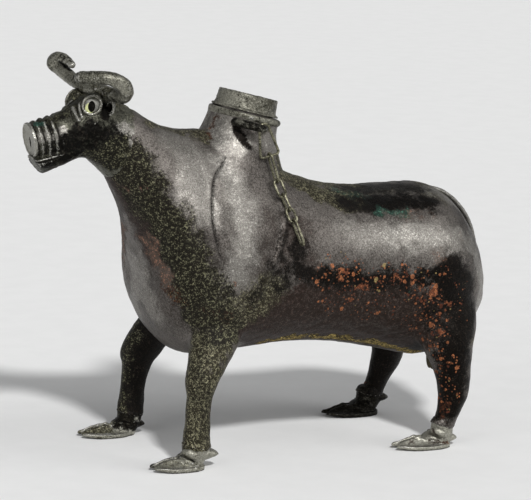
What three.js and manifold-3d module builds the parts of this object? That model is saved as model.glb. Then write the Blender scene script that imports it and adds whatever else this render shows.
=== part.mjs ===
// A hollow cast bronze vessel in the shape of a standing bull, with a filling
// neck on the hump and a chain of wire links that once held its stopper.
//
// Millimetres, +Z up. The bull faces -X, its left side is -Y, and the origin is
// on the ground under the middle of its length.

import * as THREE from 'three';
import { mergeVertices } from 'three/addons/utils/BufferGeometryUtils.js';
import Module from 'manifold-3d';

const wasm = await Module();
wasm.setup();

// Walls, and the seam left between two castings that meet
const seam = 0.3;
const wall = 2.8;
const headWall = 2.4;

// Trunk, measured from the ground and from the middle of the stance
const backHeight = 161.5;
const bellyHeight = 64;
const loinBellyHeight = 49.3;
const withersHeight = 200.5;
const brisketHeight = 62;
const barrelHalfWidth = 49.5;
const haunchHalfWidth = 51;
const shoulderHalfWidth = 51;
const chestFront = -92;
const rumpStart = 100;
const rumpDepth = 47.9;
const rumpSlope = 11;
const rumpPinch = 0.28;
const rumpFullness = 0.26;

// Neck of the animal, up to the plane where the head is joined
const throat = [-117, withersHeight - 24];
const nape = [-99.5, withersHeight + 13.5];
const neckHalfWidth = 19;

// Filling neck on the hump, with a moulding and a band round its mouth
const spoutRise = 9.8;
const spoutBase = [-21.9, withersHeight + spoutRise];
const spoutLean = THREE.MathUtils.degToRad(13.5);
const spoutRadius = 22;
const spoutBore = 16.2;
const humpDepth = 60;
const humpHalfLength = 48;
const humpHalfWidth = 41;
const bandHeight = 10.9;
const bandTopRadius = 18.6;
const bandBottomRadius = 20.9;
const mouldingRise = 1;
const mouldingHalfHeight = 1.7;
const mouldingDrop = 2.6;

// Head
const brow = [-126, withersHeight + 25];
const browHalfWidth = 17.5;
const jawHeight = withersHeight - 15.5;
const muzzleCrest = [-168.3, withersHeight + 6.7];
const muzzleHeight = 32.5;
const muzzleHalfWidth = 11.5;
const muzzlePitch = THREE.MathUtils.degToRad(11);
const muzzleLength = 23;
const muzzleRidges = 4;
const ridgePitch = 4.4;
const ridgeDepth = 0.7;
const plateShare = 0.7;
const plateThickness = 3.2;
const nostrilLength = 4.6;
const nostrilWidth = 1.7;
const eyeSetback = [-6, 0.5, -6.5];
const eyeRingRadius = 5.1;
const eyeRingRod = 1.3;
const pupilRadius = 2.1;
const earSetback = [6, 0.5, -8];
const earHeight = 8.5;

// Horns: one bar bent over the crown, thickest at the turns, with a ball at one tip
const crownRod = 4;
const hornTurnRod = 4.7;
const hornTipRod = 2.9;
const hornBall = 3.4;

// Legs and feet. The soles lie a little below the level the heights start from.
const sole = -1.7;
const stanceHalfWidth = 48;
const ankleHeight = 11;
const kneeHeight = 52;
const kneeRadius = 10.7;
const foreShinRadius = 8;
const foreArmRadius = 16.5;
const hockHeight = 31;
const hockRadius = 10;
const hindShinRadius = 8.4;
const thighRadius = 21;
const elbowSetback = 20;
const hockSetback = 6.9;
const shoulderInset = 19;
const hipInset = 21;
const legFlatness = 0.88;
const leanHeight = 40;
const foreFootLength = 33.5;
const hindFootLength = 38.5;
const footHalfWidth = 11.5;
const footEdge = 3;
const spurLength = 5.6;
const spurHalfHeight = 3.4;

// Where each foot and ankle stands along the length, how thick the ankle is, how far
// the leg leans back, and where its spur ends
const stance = {
  front_left: { sign: -1, foot: -85, ankle: -72.3, girth: 9, lean: 0, spurTip: [-57.6, 6.4] },
  front_right: { sign: 1, foot: -89.7, ankle: -71.8, girth: 8.5, lean: 0.06, spurTip: [-61.8, 4.2] },
  hind_left: { sign: -1, foot: 87, ankle: 102.6, girth: 7.7, lean: 0, spurTip: [112.8, 2.9] },
  hind_right: { sign: 1, foot: 88.8, ankle: 103.2, girth: 9, lean: 0.18, spurTip: [117, 8.4] },
};

// Tail and scrotum
const tailHalfWidth = 4;
const tailHalfDepth = 1.7;
const tailArch = 3.7;
const scrotumLength = 9;
const scrotumRadius = 3.4;

// Lug on the filling neck, and the chain that hangs from it
const lugRod = 2;
const lugDrop = 7.2;
const lugReach = 33;
const lugLimb = 1.2;
const wire = 0.8;
const linkGap = 0.3;
const stirrupHeight = 20.5;
const stirrupHalfWidth = 6.6;
const stirrupTopHalfWidth = 3.4;
const linkHalfWidth = 2.5;
const linkLengths = [19, 11.5, 11.6, 9.4, 17];
const chainLean = THREE.MathUtils.degToRad(14);
const chainClearance = 0.8;

const bronze = (color, roughness) => new THREE.MeshStandardMaterial({ color, roughness, metalness: 0.85 });
const finishes = {
  body: bronze(0x4a4748, 0.5),
  head: bronze(0x45453c, 0.48),
  leg: bronze(0x3b3a2c, 0.62),
  foot: bronze(0x54564c, 0.42),
  collar: bronze(0x50504a, 0.5),
  inlay: new THREE.MeshStandardMaterial({ color: 0x9fa37c, roughness: 0.7, metalness: 0.1 }),
  wire: bronze(0x6d6442, 0.38),
};

const across = new THREE.Vector3(0, 1, 0);
const side = (x, z) => new THREE.Vector3(x, 0, z);

// Closed skins

function closedGeometry(points, faces) {
  const geometry = new THREE.BufferGeometry();
  geometry.setAttribute('position', new THREE.Float32BufferAttribute(points.flatMap((p) => p.toArray()), 3));
  let volume = 0;
  for (let i = 0; i < faces.length; i += 3) {
    const [a, b, c] = faces.slice(i, i + 3).map((k) => points[k]);
    volume += a.dot(b.clone().cross(c));
  }
  geometry.setIndex(volume > 0 ? faces : faces.slice().reverse());
  return geometry;
}

function facesBetween(ringCount, sides, wraps) {
  const faces = [];
  for (let r = 0; r < (wraps ? ringCount : ringCount - 1); r += 1) {
    const here = r * sides;
    const next = ((r + 1) % ringCount) * sides;
    for (let s = 0; s < sides; s += 1) {
      const t = (s + 1) % sides;
      faces.push(here + s, here + t, next + t);
      faces.push(here + s, next + t, next + s);
    }
  }
  return faces;
}

// Joins rings of points into a skin and closes both ends with a fan
function loft(rings) {
  const sides = rings[0].length;
  const points = rings.flat();
  const faces = facesBetween(rings.length, sides, false);
  const lastStart = (rings.length - 1) * sides;
  for (const ring of [rings[0], rings.at(-1)]) {
    const middle = ring.reduce((sum, p) => sum.add(p), new THREE.Vector3()).divideScalar(sides);
    const hub = points.push(middle) - 1;
    for (let s = 0; s < sides; s += 1) {
      const t = (s + 1) % sides;
      if (ring === rings[0]) faces.push(t, s, hub);
      else faces.push(lastStart + s, lastStart + t, hub);
    }
  }
  return closedGeometry(points, faces);
}

function ellipse(centre, firstAxis, secondAxis, firstRadius, secondRadius, sides) {
  return Array.from({ length: sides }, (_, i) => {
    const angle = (2 * Math.PI * i) / sides;
    return centre.clone()
      .addScaledVector(firstAxis, firstRadius * Math.cos(angle))
      .addScaledVector(secondAxis, secondRadius * Math.sin(angle));
  });
}

// A round bar along an open curve
function bar(curve, radiusAt, steps, sides) {
  const { normals, binormals } = curve.computeFrenetFrames(steps, false);
  return loft(normals.map((normal, i) => {
    const u = i / steps;
    return ellipse(curve.getPointAt(u), normal, binormals[i], radiusAt(u), radiusAt(u), sides);
  }));
}

// A round wire along a closed curve
function wireLoop(curve, steps, sides) {
  const { normals, binormals } = curve.computeFrenetFrames(steps, true);
  const rings = Array.from({ length: steps }, (_, i) => (
    ellipse(curve.getPointAt(i / steps), normals[i], binormals[i], wire, wire, sides)
  ));
  return closedGeometry(rings.flat(), facesBetween(steps, sides, true));
}

function lobe(centre, radii) {
  return new THREE.SphereGeometry(1, 12, 8).scale(...radii).translate(...centre.toArray());
}

// Solids that can be joined and cut

function solid(geometry) {
  const bare = geometry.clone();
  bare.deleteAttribute('normal');
  bare.deleteAttribute('uv');
  const merged = mergeVertices(bare, 1e-4);
  return new wasm.Manifold(new wasm.Mesh({
    numProp: 3,
    vertProperties: new Float32Array(merged.attributes.position.array),
    triVerts: new Uint32Array(merged.index.array),
  }));
}

function meshOf(name, shape, finish) {
  const { vertProperties, triVerts } = shape.getMesh();
  const geometry = new THREE.BufferGeometry();
  geometry.setAttribute('position', new THREE.BufferAttribute(vertProperties, 3));
  geometry.setIndex(new THREE.BufferAttribute(triVerts, 1));
  geometry.computeVertexNormals();
  const mesh = new THREE.Mesh(geometry, finish);
  mesh.name = name;
  return mesh;
}

// Sections of the trunk and the head. Each stands on a line from a low point to
// a high point in the middle plane, and is pear-shaped by its heaviness.

const plain = { heavy: 0 };

function blend(stations, count) {
  const through = (points) => new THREE.CatmullRomCurve3(points, false, 'catmullrom', 0.5);
  const low = through(stations.map((s) => side(...s.low)));
  const high = through(stations.map((s) => side(...s.high)));
  const shape = through(stations.map((s) => new THREE.Vector3(s.halfWidth, s.heavy, 0)));
  return Array.from({ length: count }, (_, i) => {
    const u = i / (count - 1);
    const { x: halfWidth, y: heavy } = shape.getPoint(u);
    return { low: low.getPoint(u), high: high.getPoint(u), halfWidth, heavy };
  });
}

function section({ low, high, halfWidth, heavy }, inset, sides, shrink = 1) {
  const centre = low.clone().add(high).divideScalar(2);
  const up = high.clone().sub(low).divideScalar(2);
  const halfHeight = up.length() - inset;
  up.normalize();
  return Array.from({ length: sides }, (_, i) => {
    const angle = (2 * Math.PI * i) / sides;
    const reach = (halfWidth - inset) * Math.cos(angle) * (1 - heavy * Math.sin(angle));
    return centre.clone()
      .addScaledVector(across, shrink * reach)
      .addScaledVector(up, shrink * halfHeight * Math.sin(angle));
  });
}

const neckUp = side(...nape).sub(side(...throat)).normalize();
const neckForward = new THREE.Vector3(-neckUp.z, 0, neckUp.x);

// Trunk: a barrel that narrows into the neck, closed by a rounded rump

const towardsThroat = (share) => THREE.MathUtils.lerp(brisketHeight, throat[1], share);
const narrowed = (share) => ({ halfWidth: THREE.MathUtils.lerp(shoulderHalfWidth, neckHalfWidth, share) });
const trunkStations = [
  { low: [rumpStart, loinBellyHeight], high: [rumpStart, backHeight], halfWidth: haunchHalfWidth, ...plain },
  { low: [48, bellyHeight - 3.5], high: [48, backHeight], halfWidth: barrelHalfWidth, heavy: 0.02 },
  { low: [10, bellyHeight], high: [12, backHeight + 8.5], halfWidth: barrelHalfWidth, heavy: 0.08 },
  { low: [-30, brisketHeight], high: [-24, withersHeight - 14], halfWidth: shoulderHalfWidth, heavy: 0.22 },
  { low: [-66, brisketHeight], high: [-50, withersHeight - 1], halfWidth: shoulderHalfWidth - 2, heavy: 0.3 },
  { low: [chestFront + 5, towardsThroat(0.2)], high: [-64, withersHeight], ...narrowed(0.2), heavy: 0.26 },
  { low: [chestFront, towardsThroat(0.44)], high: [-74, withersHeight + 1.5], ...narrowed(0.44), heavy: 0.16 },
  { low: [chestFront - 8, towardsThroat(0.71)], high: [-85, withersHeight + 5], ...narrowed(0.71), heavy: 0.06 },
  { low: throat, high: nape, halfWidth: neckHalfWidth, ...plain },
];
const trunkRings = 21;
const rumpRings = 6;
const rumpCentreHeight = (backHeight + loinBellyHeight) / 2;
const rumpHalfHeight = (backHeight - loinBellyHeight) / 2;

// Rounds a ring of the rump off: its upper half falls away and narrows towards the
// tail, and its lower half stays fuller
function rumpRing(ring, inset, sides, angle) {
  const shrink = Math.cos(angle);
  const shift = (rumpDepth - inset) * Math.sin(angle);
  return section(ring, inset, sides, shrink).map((p) => {
    const height = (p.z - rumpCentreHeight) / (rumpHalfHeight - inset);
    const rise = Math.max(0, height);
    const full = shrink ** (-rumpFullness * THREE.MathUtils.clamp((-2 * height) / shrink, 0, 1));
    return new THREE.Vector3(
      p.x + shift,
      p.y * full * (1 - (rumpPinch * Math.sin(angle) * rise) / shrink),
      rumpCentreHeight + (p.z - rumpCentreHeight) * full - rumpSlope * Math.sin(angle) ** 2 * rise,
    );
  });
}

function trunkSolid(inset, sides) {
  const blended = blend(trunkStations, trunkRings);
  const barrel = blended.map((ring) => section(ring, inset, sides));
  const rump = Array.from({ length: rumpRings }, (_, i) => (
    rumpRing(blended[0], inset, sides, ((rumpRings - i) / (rumpRings + 0.4)) * (Math.PI / 2))
  ));
  const opening = inset > 0 ? [barrel.at(-1).map((p) => p.clone().addScaledVector(neckForward, wall))] : [];
  return solid(loft([...rump, ...barrel, ...opening]));
}

// Hump: flares from the filling neck down into the shoulders

const spoutUp = side(Math.sin(spoutLean), Math.cos(spoutLean));
const spoutRear = side(Math.cos(spoutLean), -Math.sin(spoutLean));
const spoutPoint = (height) => side(...spoutBase).addScaledVector(spoutUp, height);

function humpSolid(inset, sides) {
  const steps = 10;
  return solid(loft(Array.from({ length: steps + 1 }, (_, i) => {
    const u = i / steps;
    const halfLength = THREE.MathUtils.lerp(spoutRadius, humpHalfLength, Math.min(1, 1.36 * u) ** 2.2) - inset;
    const halfWidth = THREE.MathUtils.lerp(spoutRadius, humpHalfWidth, u ** 1.6) - inset;
    return ellipse(spoutPoint(-humpDepth * u), spoutRear, across, halfLength, halfWidth, sides);
  })));
}

function spoutBoreSolid(sides) {
  return solid(loft([
    ellipse(spoutPoint(wall), spoutRear, across, spoutBore, spoutBore, sides),
    ellipse(spoutPoint(-humpDepth / 3), spoutRear, across, spoutBore, spoutBore, sides),
    ellipse(spoutPoint(wall - humpDepth), spoutRear, across, spoutBore * 1.5, spoutBore * 1.4, sides),
  ]));
}

const bodySides = 28;
const bodyOuter = trunkSolid(0, bodySides).add(humpSolid(0, bodySides));
const bodyGrown = trunkSolid(-seam, bodySides).add(humpSolid(-seam, bodySides));
const bodyShell = bodyOuter.subtract(trunkSolid(wall, 20)).subtract(spoutBoreSolid(24));

// Band and moulding, turned about the leaning axis of the filling neck

function turned(profile, segments) {
  const points = [...profile, profile[0]].map(([radius, height]) => new THREE.Vector2(radius, height));
  return new THREE.LatheGeometry(points, segments)
    .rotateX(Math.PI / 2)
    .rotateY(spoutLean)
    .translate(...spoutPoint(0).toArray());
}

const rimBand = solid(turned([
  [spoutBore, seam],
  [bandBottomRadius, seam],
  [bandTopRadius, bandHeight],
  [spoutBore, bandHeight],
], 36));

const mouldingCurve = Array.from({ length: 5 }, (_, i) => {
  const angle = (i / 4 - 0.5) * Math.PI;
  return [
    spoutRadius + seam + 0.6 + mouldingRise * Math.cos(angle),
    mouldingHalfHeight * Math.sin(angle) - mouldingDrop,
  ];
});
const moulding = solid(turned([
  [spoutRadius + seam, -mouldingDrop - mouldingHalfHeight],
  ...mouldingCurve,
  [spoutRadius + seam, -mouldingDrop + mouldingHalfHeight],
], 36)).subtract(bodyGrown);

// Head: a skull from the joint plane to the brow, and a ridged muzzle

const muzzleDown = side(Math.sin(muzzlePitch), -Math.cos(muzzlePitch));
const muzzleOut = side(-Math.cos(muzzlePitch), -Math.sin(muzzlePitch));
const muzzleFrontHigh = side(...muzzleCrest);
const muzzleFrontLow = muzzleFrontHigh.clone().addScaledVector(muzzleDown, muzzleHeight);
const muzzleBackHigh = side(muzzleCrest[0] + muzzleLength, brow[1] - 9);
const muzzleBackLow = side(muzzleFrontLow.x + muzzleLength - 4, jawHeight - 1);

function skullSolid(inset, sides) {
  const [browX, browZ] = brow;
  const joint = neckForward.clone().multiplyScalar(inset > 0 ? -seam : seam);
  const stations = [
    { low: [throat[0] + joint.x, throat[1] + joint.z], high: [nape[0] + joint.x, nape[1] + joint.z],
      halfWidth: neckHalfWidth, ...plain },
    { low: [browX - 2, jawHeight - 1], high: [browX + 13, browZ - 3.5], halfWidth: browHalfWidth, heavy: 0.04 },
    { low: [browX - 9, jawHeight + 0.5], high: [browX, browZ], halfWidth: browHalfWidth, ...plain },
    { low: [browX - 15, jawHeight - 0.5], high: [browX - 11, browZ - 6], halfWidth: 15.5, ...plain },
    { low: [browX - 22, jawHeight], high: [browX - 21, browZ - 12.5], halfWidth: 12.5, ...plain },
  ];
  return solid(loft(blend(stations, 10).map((ring) => section(ring, inset, sides))));
}

function muzzleSolid(inset, sides) {
  const ridgedLength = muzzleRidges * ridgePitch;
  const ringsPerRidge = 2;
  const stops = Array.from({ length: muzzleRidges * ringsPerRidge + 1 }, (_, i) => (i / ringsPerRidge) * ridgePitch);
  return solid(loft([...stops, (ridgedLength + muzzleLength) / 2, muzzleLength].map((back) => {
    const u = back / muzzleLength;
    const groove = back > ridgedLength ? 0 : (1 + Math.cos((2 * Math.PI * back) / ridgePitch)) / 2;
    const ring = {
      low: muzzleFrontLow.clone().lerp(muzzleBackLow, u),
      high: muzzleFrontHigh.clone().lerp(muzzleBackHigh, u),
      halfWidth: muzzleHalfWidth + 2 * u * u,
      heavy: 0,
    };
    return section(ring, inset + ridgeDepth * groove, sides);
  })));
}

// The nose plate covers the upper part of the muzzle's front
const plateHalfHeight = (plateShare * muzzleHeight) / 2;
const plateCentre = muzzleFrontHigh.clone().addScaledVector(muzzleDown, plateHalfHeight);

function slab(centre, halfWidth, halfHeight, front, depth) {
  return solid(loft([front, front - depth].map((out) => ellipse(
    centre.clone().addScaledVector(muzzleOut, out),
    across,
    muzzleDown,
    halfWidth,
    halfHeight,
    28,
  ))));
}

const plate = slab(plateCentre, muzzleHalfWidth, plateHalfHeight, 0, plateThickness);

// The room for the plate is open at the top and runs out to both cheeks
const plateRoom = slab(
  plateCentre.clone().addScaledVector(muzzleDown, -plateHalfHeight / 2),
  1.6 * muzzleHalfWidth,
  1.5 * plateHalfHeight + seam,
  1,
  plateThickness + seam + 1,
);

// The slit in the middle of the plate
const nostril = solid(loft([1, -plateThickness - 1].map((out) => ellipse(
  plateCentre.clone().addScaledVector(muzzleOut, out),
  across,
  muzzleDown,
  nostrilWidth / 2,
  nostrilLength / 2,
  10,
))));

const headSides = 24;
const nosePlate = plate.subtract(nostril);
const headOuter = skullSolid(0, headSides).add(muzzleSolid(0, headSides));
const headGrown = skullSolid(-seam, headSides).add(muzzleSolid(-seam, headSides));
const headSolid = headOuter
  .subtract(skullSolid(headWall, 16))
  .subtract(plateRoom);

// Horn bar, from the tip of the right horn over the crown to the tip of the left.
// Its points are set out from the brow.

const hornPath = [
  [-1, 21, 13.6],
  [-3.5, 29, 17],
  [-6.2, 38, 16.5],
  [-6.6, 42.5, 12.2],
  [-4.6, 38, 9.6],
  [-3.6, 27, 6],
  [-2.5, 14, 3],
  [-1, 0, 1.4],
  [2.5, -9, 1.4],
  [6, -16, 0],
  [8.8, -23, -0.9],
  [9.2, -28.5, 2.4],
  [6.6, -30.5, 7],
  [1, -29, 10.4],
  [-6, -25, 11.5],
  [-16, -16.5, 11],
].map(([x, y, z]) => new THREE.Vector3(brow[0] + x, y, brow[1] + z));

function hornSolid(grow) {
  const curve = new THREE.CatmullRomCurve3(hornPath, false, 'centripetal');
  const radiusAt = (u) => {
    const fromTip = Math.min(u, 1 - u);
    if (fromTip < 0.18) return grow + THREE.MathUtils.lerp(hornTipRod, hornTurnRod, fromTip / 0.18);
    return grow + THREE.MathUtils.lerp(hornTurnRod, crownRod, THREE.MathUtils.smoothstep(fromTip, 0.24, 0.42));
  };
  const rounded = (tip, radius) => solid(lobe(tip, [radius, radius, radius]));
  return solid(bar(curve, radiusAt, 34, 12))
    .add(rounded(hornPath[0], hornTipRod + grow))
    .add(rounded(hornPath.at(-1), hornBall + grow));
}

// Eyes: a raised ring round an inlay with a drilled pupil

// A point that is set back from the brow, off the skull's side and above the brow
function onSkull(sign, [back, standOff, rise]) {
  const middle = (brow[1] + jawHeight) / 2;
  const share = (brow[1] + rise - middle) / (brow[1] - middle);
  const reach = browHalfWidth * Math.sqrt(Math.max(0, 1 - share * share));
  return new THREE.Vector3(brow[0] + back, sign * (reach + standOff), brow[1] + rise);
}

function eyeFrame(sign) {
  const centre = onSkull(sign, eyeSetback);
  const outward = new THREE.Vector3(-0.38, sign * 0.9, 0.2).normalize();
  const turn = new THREE.Quaternion().setFromUnitVectors(new THREE.Vector3(0, 0, 1), outward);
  return new THREE.Matrix4().compose(centre, turn, new THREE.Vector3(1, 1, 1));
}

function eyeRing(sign) {
  const ring = new THREE.TorusGeometry(eyeRingRadius, eyeRingRod, 8, 20).applyMatrix4(eyeFrame(sign));
  return solid(ring).subtract(headGrown).subtract(hornSolid(seam));
}

function eyeInlay(sign) {
  const edge = eyeRingRadius - eyeRingRod - seam;
  const inlay = new THREE.SphereGeometry(1, 14, 8).scale(edge, edge, 2.2).applyMatrix4(eyeFrame(sign));
  const pupil = new THREE.CylinderGeometry(pupilRadius, pupilRadius, 8, 12)
    .rotateX(Math.PI / 2)
    .applyMatrix4(eyeFrame(sign));
  return solid(inlay).subtract(solid(pupil)).subtract(headGrown);
}

// Ears

function ear(sign) {
  const root = onSkull(sign, earSetback);
  const cup = lobe(root, [2.4, 3.6, earHeight / 2]);
  const hollow = lobe(root.clone().add(new THREE.Vector3(-2, sign * 1.2, 0)), [1.9, 3, earHeight / 2 - 1.2]);
  return solid(cup).subtract(solid(hollow)).subtract(headGrown).subtract(hornSolid(seam));
}

// Feet and legs. A foot is a leaf-shaped sole that rises to a cuff at the ankle,
// with a spur behind it. A leg is a bar from the cuff up into the trunk.

function footGeometry({ sign, foot, ankle, girth }, length) {
  const sides = 22;
  const top = ankleHeight - seam;
  const round = (point) => Array.from({ length: sides }, (_, i) => point((2 * Math.PI * i) / sides));
  const outline = (share, z) => round((angle) => new THREE.Vector3(
    foot + (length / 2) * share * Math.cos(angle),
    sign * stanceHalfWidth + footHalfWidth * share * (1 + 0.18 * Math.cos(angle)) * Math.sin(angle),
    z,
  ));
  const cuff = round((angle) => new THREE.Vector3(
    ankle + girth * Math.cos(angle),
    sign * stanceHalfWidth + girth * legFlatness * Math.sin(angle),
    top,
  ));
  const instep = outline(0.92, sole + footEdge);
  const between = (share, rise) => instep.map((p, i) => (
    p.clone().lerp(cuff[i], share).setZ(THREE.MathUtils.lerp(p.z, top, rise))
  ));
  return loft([
    outline(0.94, sole),
    outline(1, sole + footEdge / 2),
    instep,
    between(0.3, 0.34),
    between(0.7, 0.66),
    cuff,
  ]);
}

function legSolid(stations, { sign, ankle, lean }, grow) {
  const centres = new THREE.CatmullRomCurve3(stations.map(({ z, back, inward }) => new THREE.Vector3(
    ankle + back + lean * Math.min(z - ankleHeight, leanHeight),
    sign * (stanceHalfWidth - inward),
    z,
  )), false, 'catmullrom', 0.5);
  const radii = new THREE.CatmullRomCurve3(stations.map(({ radius }) => new THREE.Vector3(radius, 0, 0)));
  const forward = new THREE.Vector3(1, 0, 0);
  const count = (stations.length - 1) * 2;
  const rings = Array.from({ length: count + 1 }, (_, i) => {
    const radius = radii.getPoint(i / count).x;
    const centre = centres.getPoint(i / count);
    return ellipse(centre, forward, across, radius + grow, radius * legFlatness + grow, 16);
  });
  return solid(loft([rings[0].map((p) => p.clone().setZ(p.z - grow)), ...rings.slice(1)]));
}

const legStation = (z, back, inward, radius) => ({ z, back, inward, radius });

const foreLegStations = (girth) => [
  legStation(ankleHeight, 0, 0, girth),
  legStation(0.35 * kneeHeight, 0, 0, foreShinRadius + 0.5),
  legStation(0.58 * kneeHeight, 0.02 * elbowSetback, 0, foreShinRadius),
  legStation(0.81 * kneeHeight, 0.07 * elbowSetback, 0.03 * shoulderInset, foreShinRadius + 0.2),
  legStation(kneeHeight, 0.17 * elbowSetback, 0.08 * shoulderInset, kneeRadius),
  legStation(1.21 * kneeHeight, 0.43 * elbowSetback, 0.24 * shoulderInset, kneeRadius + 2.5),
  legStation(1.46 * kneeHeight, 0.8 * elbowSetback, 0.58 * shoulderInset, foreArmRadius),
  legStation(1.77 * kneeHeight, elbowSetback, shoulderInset, foreArmRadius - 1),
];

const hindLegStations = (girth) => [
  legStation(ankleHeight, 0, 0, girth),
  legStation(0.61 * hockHeight, 0.5 * hockSetback, 0, hindShinRadius - 0.7),
  legStation(hockHeight, hockSetback, 0.02 * hipInset, hockRadius),
  legStation(1.48 * hockHeight, 0.94 * hockSetback, 0.1 * hipInset, hockRadius + 2.2),
  legStation(1.94 * hockHeight, 0.72 * hockSetback, 0.29 * hipInset, thighRadius - 4.4),
  legStation(2.4 * hockHeight, 0.85 * hockSetback, 0.6 * hipInset, thighRadius),
  legStation(3.1 * hockHeight, hockSetback, hipInset, thighRadius + 1),
];

function spurSolid({ sign, girth, spurTip }) {
  const [tip, height] = spurTip;
  const centre = new THREE.Vector3(tip - spurLength, sign * stanceHalfWidth, height);
  return solid(lobe(centre, [spurLength, girth * 0.62, spurHalfHeight]));
}

function legAndFoot(stationsFor, placed, footLength) {
  const stations = stationsFor(placed.girth);
  const foot = solid(footGeometry(placed, footLength))
    .add(spurSolid(placed))
    .subtract(legSolid(stations, placed, seam));
  return { leg: legSolid(stations, placed, 0).subtract(bodyGrown), foot };
}

// Tail: a flat strip that rises out of the back, arches over the upper rump and
// lies down on it again. Each station is an angle on the rump and a share of the arch.

const tailStations = [
  [80, -0.32],
  [66, 0.05],
  [59, 0.43],
  [50, 0.78],
  [39, 1],
  [28, 0.89],
  [18, 0.68],
  [8, 0.57],
  [-1, 0.54],
  [-12, 0.3],
  [-36, 0.11],
];

function rumpProfile(angle) {
  const shrink = Math.abs(Math.sin(angle));
  const above = shrink * (rumpHalfHeight - rumpSlope * Math.cos(angle) ** 2);
  const below = rumpHalfHeight * shrink ** (1 - rumpFullness);
  return side(rumpStart + rumpDepth * Math.cos(angle), rumpCentreHeight + (angle > 0 ? above : -below));
}

function tailSolid() {
  const steps = 22;
  const small = 0.01;
  const path = new THREE.CatmullRomCurve3(tailStations.map(([degrees, standOff]) => {
    const angle = THREE.MathUtils.degToRad(degrees);
    const along = rumpProfile(angle - small).sub(rumpProfile(angle + small)).normalize();
    return rumpProfile(angle).addScaledVector(side(-along.z, along.x), tailArch * standOff);
  }));
  return solid(loft(Array.from({ length: steps + 1 }, (_, i) => {
    const taper = Math.min(1, 0.35 + (6 * Math.min(i, steps - i)) / steps);
    const tangent = path.getTangentAt(i / steps);
    const outward = side(-tangent.z, tangent.x);
    return ellipse(path.getPointAt(i / steps), across, outward, tailHalfWidth * taper, tailHalfDepth * taper, 10);
  }))).subtract(bodyGrown);
}

function scrotumSolid() {
  const root = side(rumpStart + 21.4, loinBellyHeight - scrotumLength / 2 + 0.5);
  return solid(lobe(root, [scrotumRadius, scrotumRadius * 1.2, scrotumLength])).subtract(bodyGrown);
}

// Lug: a staple that leaves the filling neck, stands off and returns into it.
// Its points are set out along the neck's side and away from its axis.

const lugPoint = ([along, out]) => spoutPoint(-lugDrop)
  .addScaledVector(spoutRear, along)
  .addScaledVector(across, -out);

function lugSolid() {
  const path = [
    [-13, spoutRadius - 7],
    [-14.2, spoutRadius - 1.5],
    [-10, lugReach - 5.5],
    [-4.5, lugReach - 0.5],
    [-1.2, lugReach - 0.7],
    [lugLimb, lugReach - 5],
    [lugLimb + 0.6, spoutRadius - 2],
  ];
  const curve = new THREE.CatmullRomCurve3(path.map(lugPoint), false, 'centripetal');
  return solid(bar(curve, () => lugRod, 22, 10)).subtract(bodyGrown);
}

// Chain: a stirrup link on the lug, then links turned a quarter to each other.
// Every link hangs from the one before and lies out along the flank.

const chainDown = side(Math.sin(chainLean), -Math.cos(chainLean));
const linkSeat = 2 * wire + linkGap;

function stirrupGeometry() {
  const shoulder = new THREE.Vector3(stirrupTopHalfWidth, 0, -stirrupTopHalfWidth);
  const foot = new THREE.Vector3(stirrupHalfWidth, 0, -stirrupHeight);
  const path = new THREE.CurvePath();
  const corner = 1.6;
  const mirrored = (p) => new THREE.Vector3(-p.x, p.y, p.z);
  const line = (a, b) => path.add(new THREE.LineCurve3(a, b));
  const bend = (a, b, c) => path.add(new THREE.QuadraticBezierCurve3(a, b, c));
  const top = new THREE.Vector3();
  const topCorner = new THREE.Vector3(stirrupTopHalfWidth, 0, 0);
  const footRise = foot.clone().add(new THREE.Vector3(-0.25, 0, corner));
  const footTurn = foot.clone().add(new THREE.Vector3(-corner, 0, 0));
  bend(top, topCorner, shoulder);
  line(shoulder, footRise);
  bend(footRise, foot, footTurn);
  line(footTurn, mirrored(footTurn));
  bend(mirrored(footTurn), mirrored(foot), mirrored(footRise));
  line(mirrored(footRise), mirrored(shoulder));
  bend(mirrored(shoulder), mirrored(topCorner), top);
  return wireLoop(path, 40, 8);
}

// An oval link, from its top wire at the origin down to its bottom wire
function linkGeometry(length) {
  const straight = length - 2 * linkHalfWidth;
  const path = new THREE.CurvePath();
  const r = linkHalfWidth;
  const k = 0.5523 * r;
  const arc = (points) => path.add(new THREE.CubicBezierCurve3(...points.map(([x, z]) => side(x, z))));
  const line = (a, b) => path.add(new THREE.LineCurve3(side(...a), side(...b)));
  arc([[0, 0], [k, 0], [r, k - r], [r, -r]]);
  line([r, -r], [r, -r - straight]);
  arc([[r, -r - straight], [r, -r - straight - k], [k, -length], [0, -length]]);
  arc([[0, -length], [-k, -length], [-r, -r - straight - k], [-r, -r - straight]]);
  line([-r, -r - straight], [-r, -r]);
  arc([[-r, -r], [-r, k - r], [-k, 0], [0, 0]]);
  return wireLoop(path, 28, 8);
}

const flank = new THREE.Mesh(meshOf('flank', bodyOuter, finishes.body).geometry);
const probe = new THREE.Raycaster();

function flankDepth(point) {
  const start = new THREE.Vector3(point.x, -3 * shoulderHalfWidth, point.z);
  probe.set(start, across);
  const [hit] = probe.intersectObject(flank);
  return hit ? hit.point.y : Infinity;
}

// The least angle from the plumb line at which a stretch of chain clears the flank
function restAngle(pivot, length) {
  const room = linkHalfWidth + wire + chainClearance;
  const step = THREE.MathUtils.degToRad(0.5);
  const clears = (angle) => [0.5, 1, 1 + linkHalfWidth / length].every((share) => {
    const point = pivot.clone()
      .addScaledVector(chainDown, share * length * Math.cos(angle))
      .addScaledVector(across, -share * length * Math.sin(angle));
    return point.y + room < flankDepth(point);
  });
  let angle = 0;
  while (!clears(angle) && angle < Math.PI / 2) angle += step;
  return angle;
}

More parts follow.
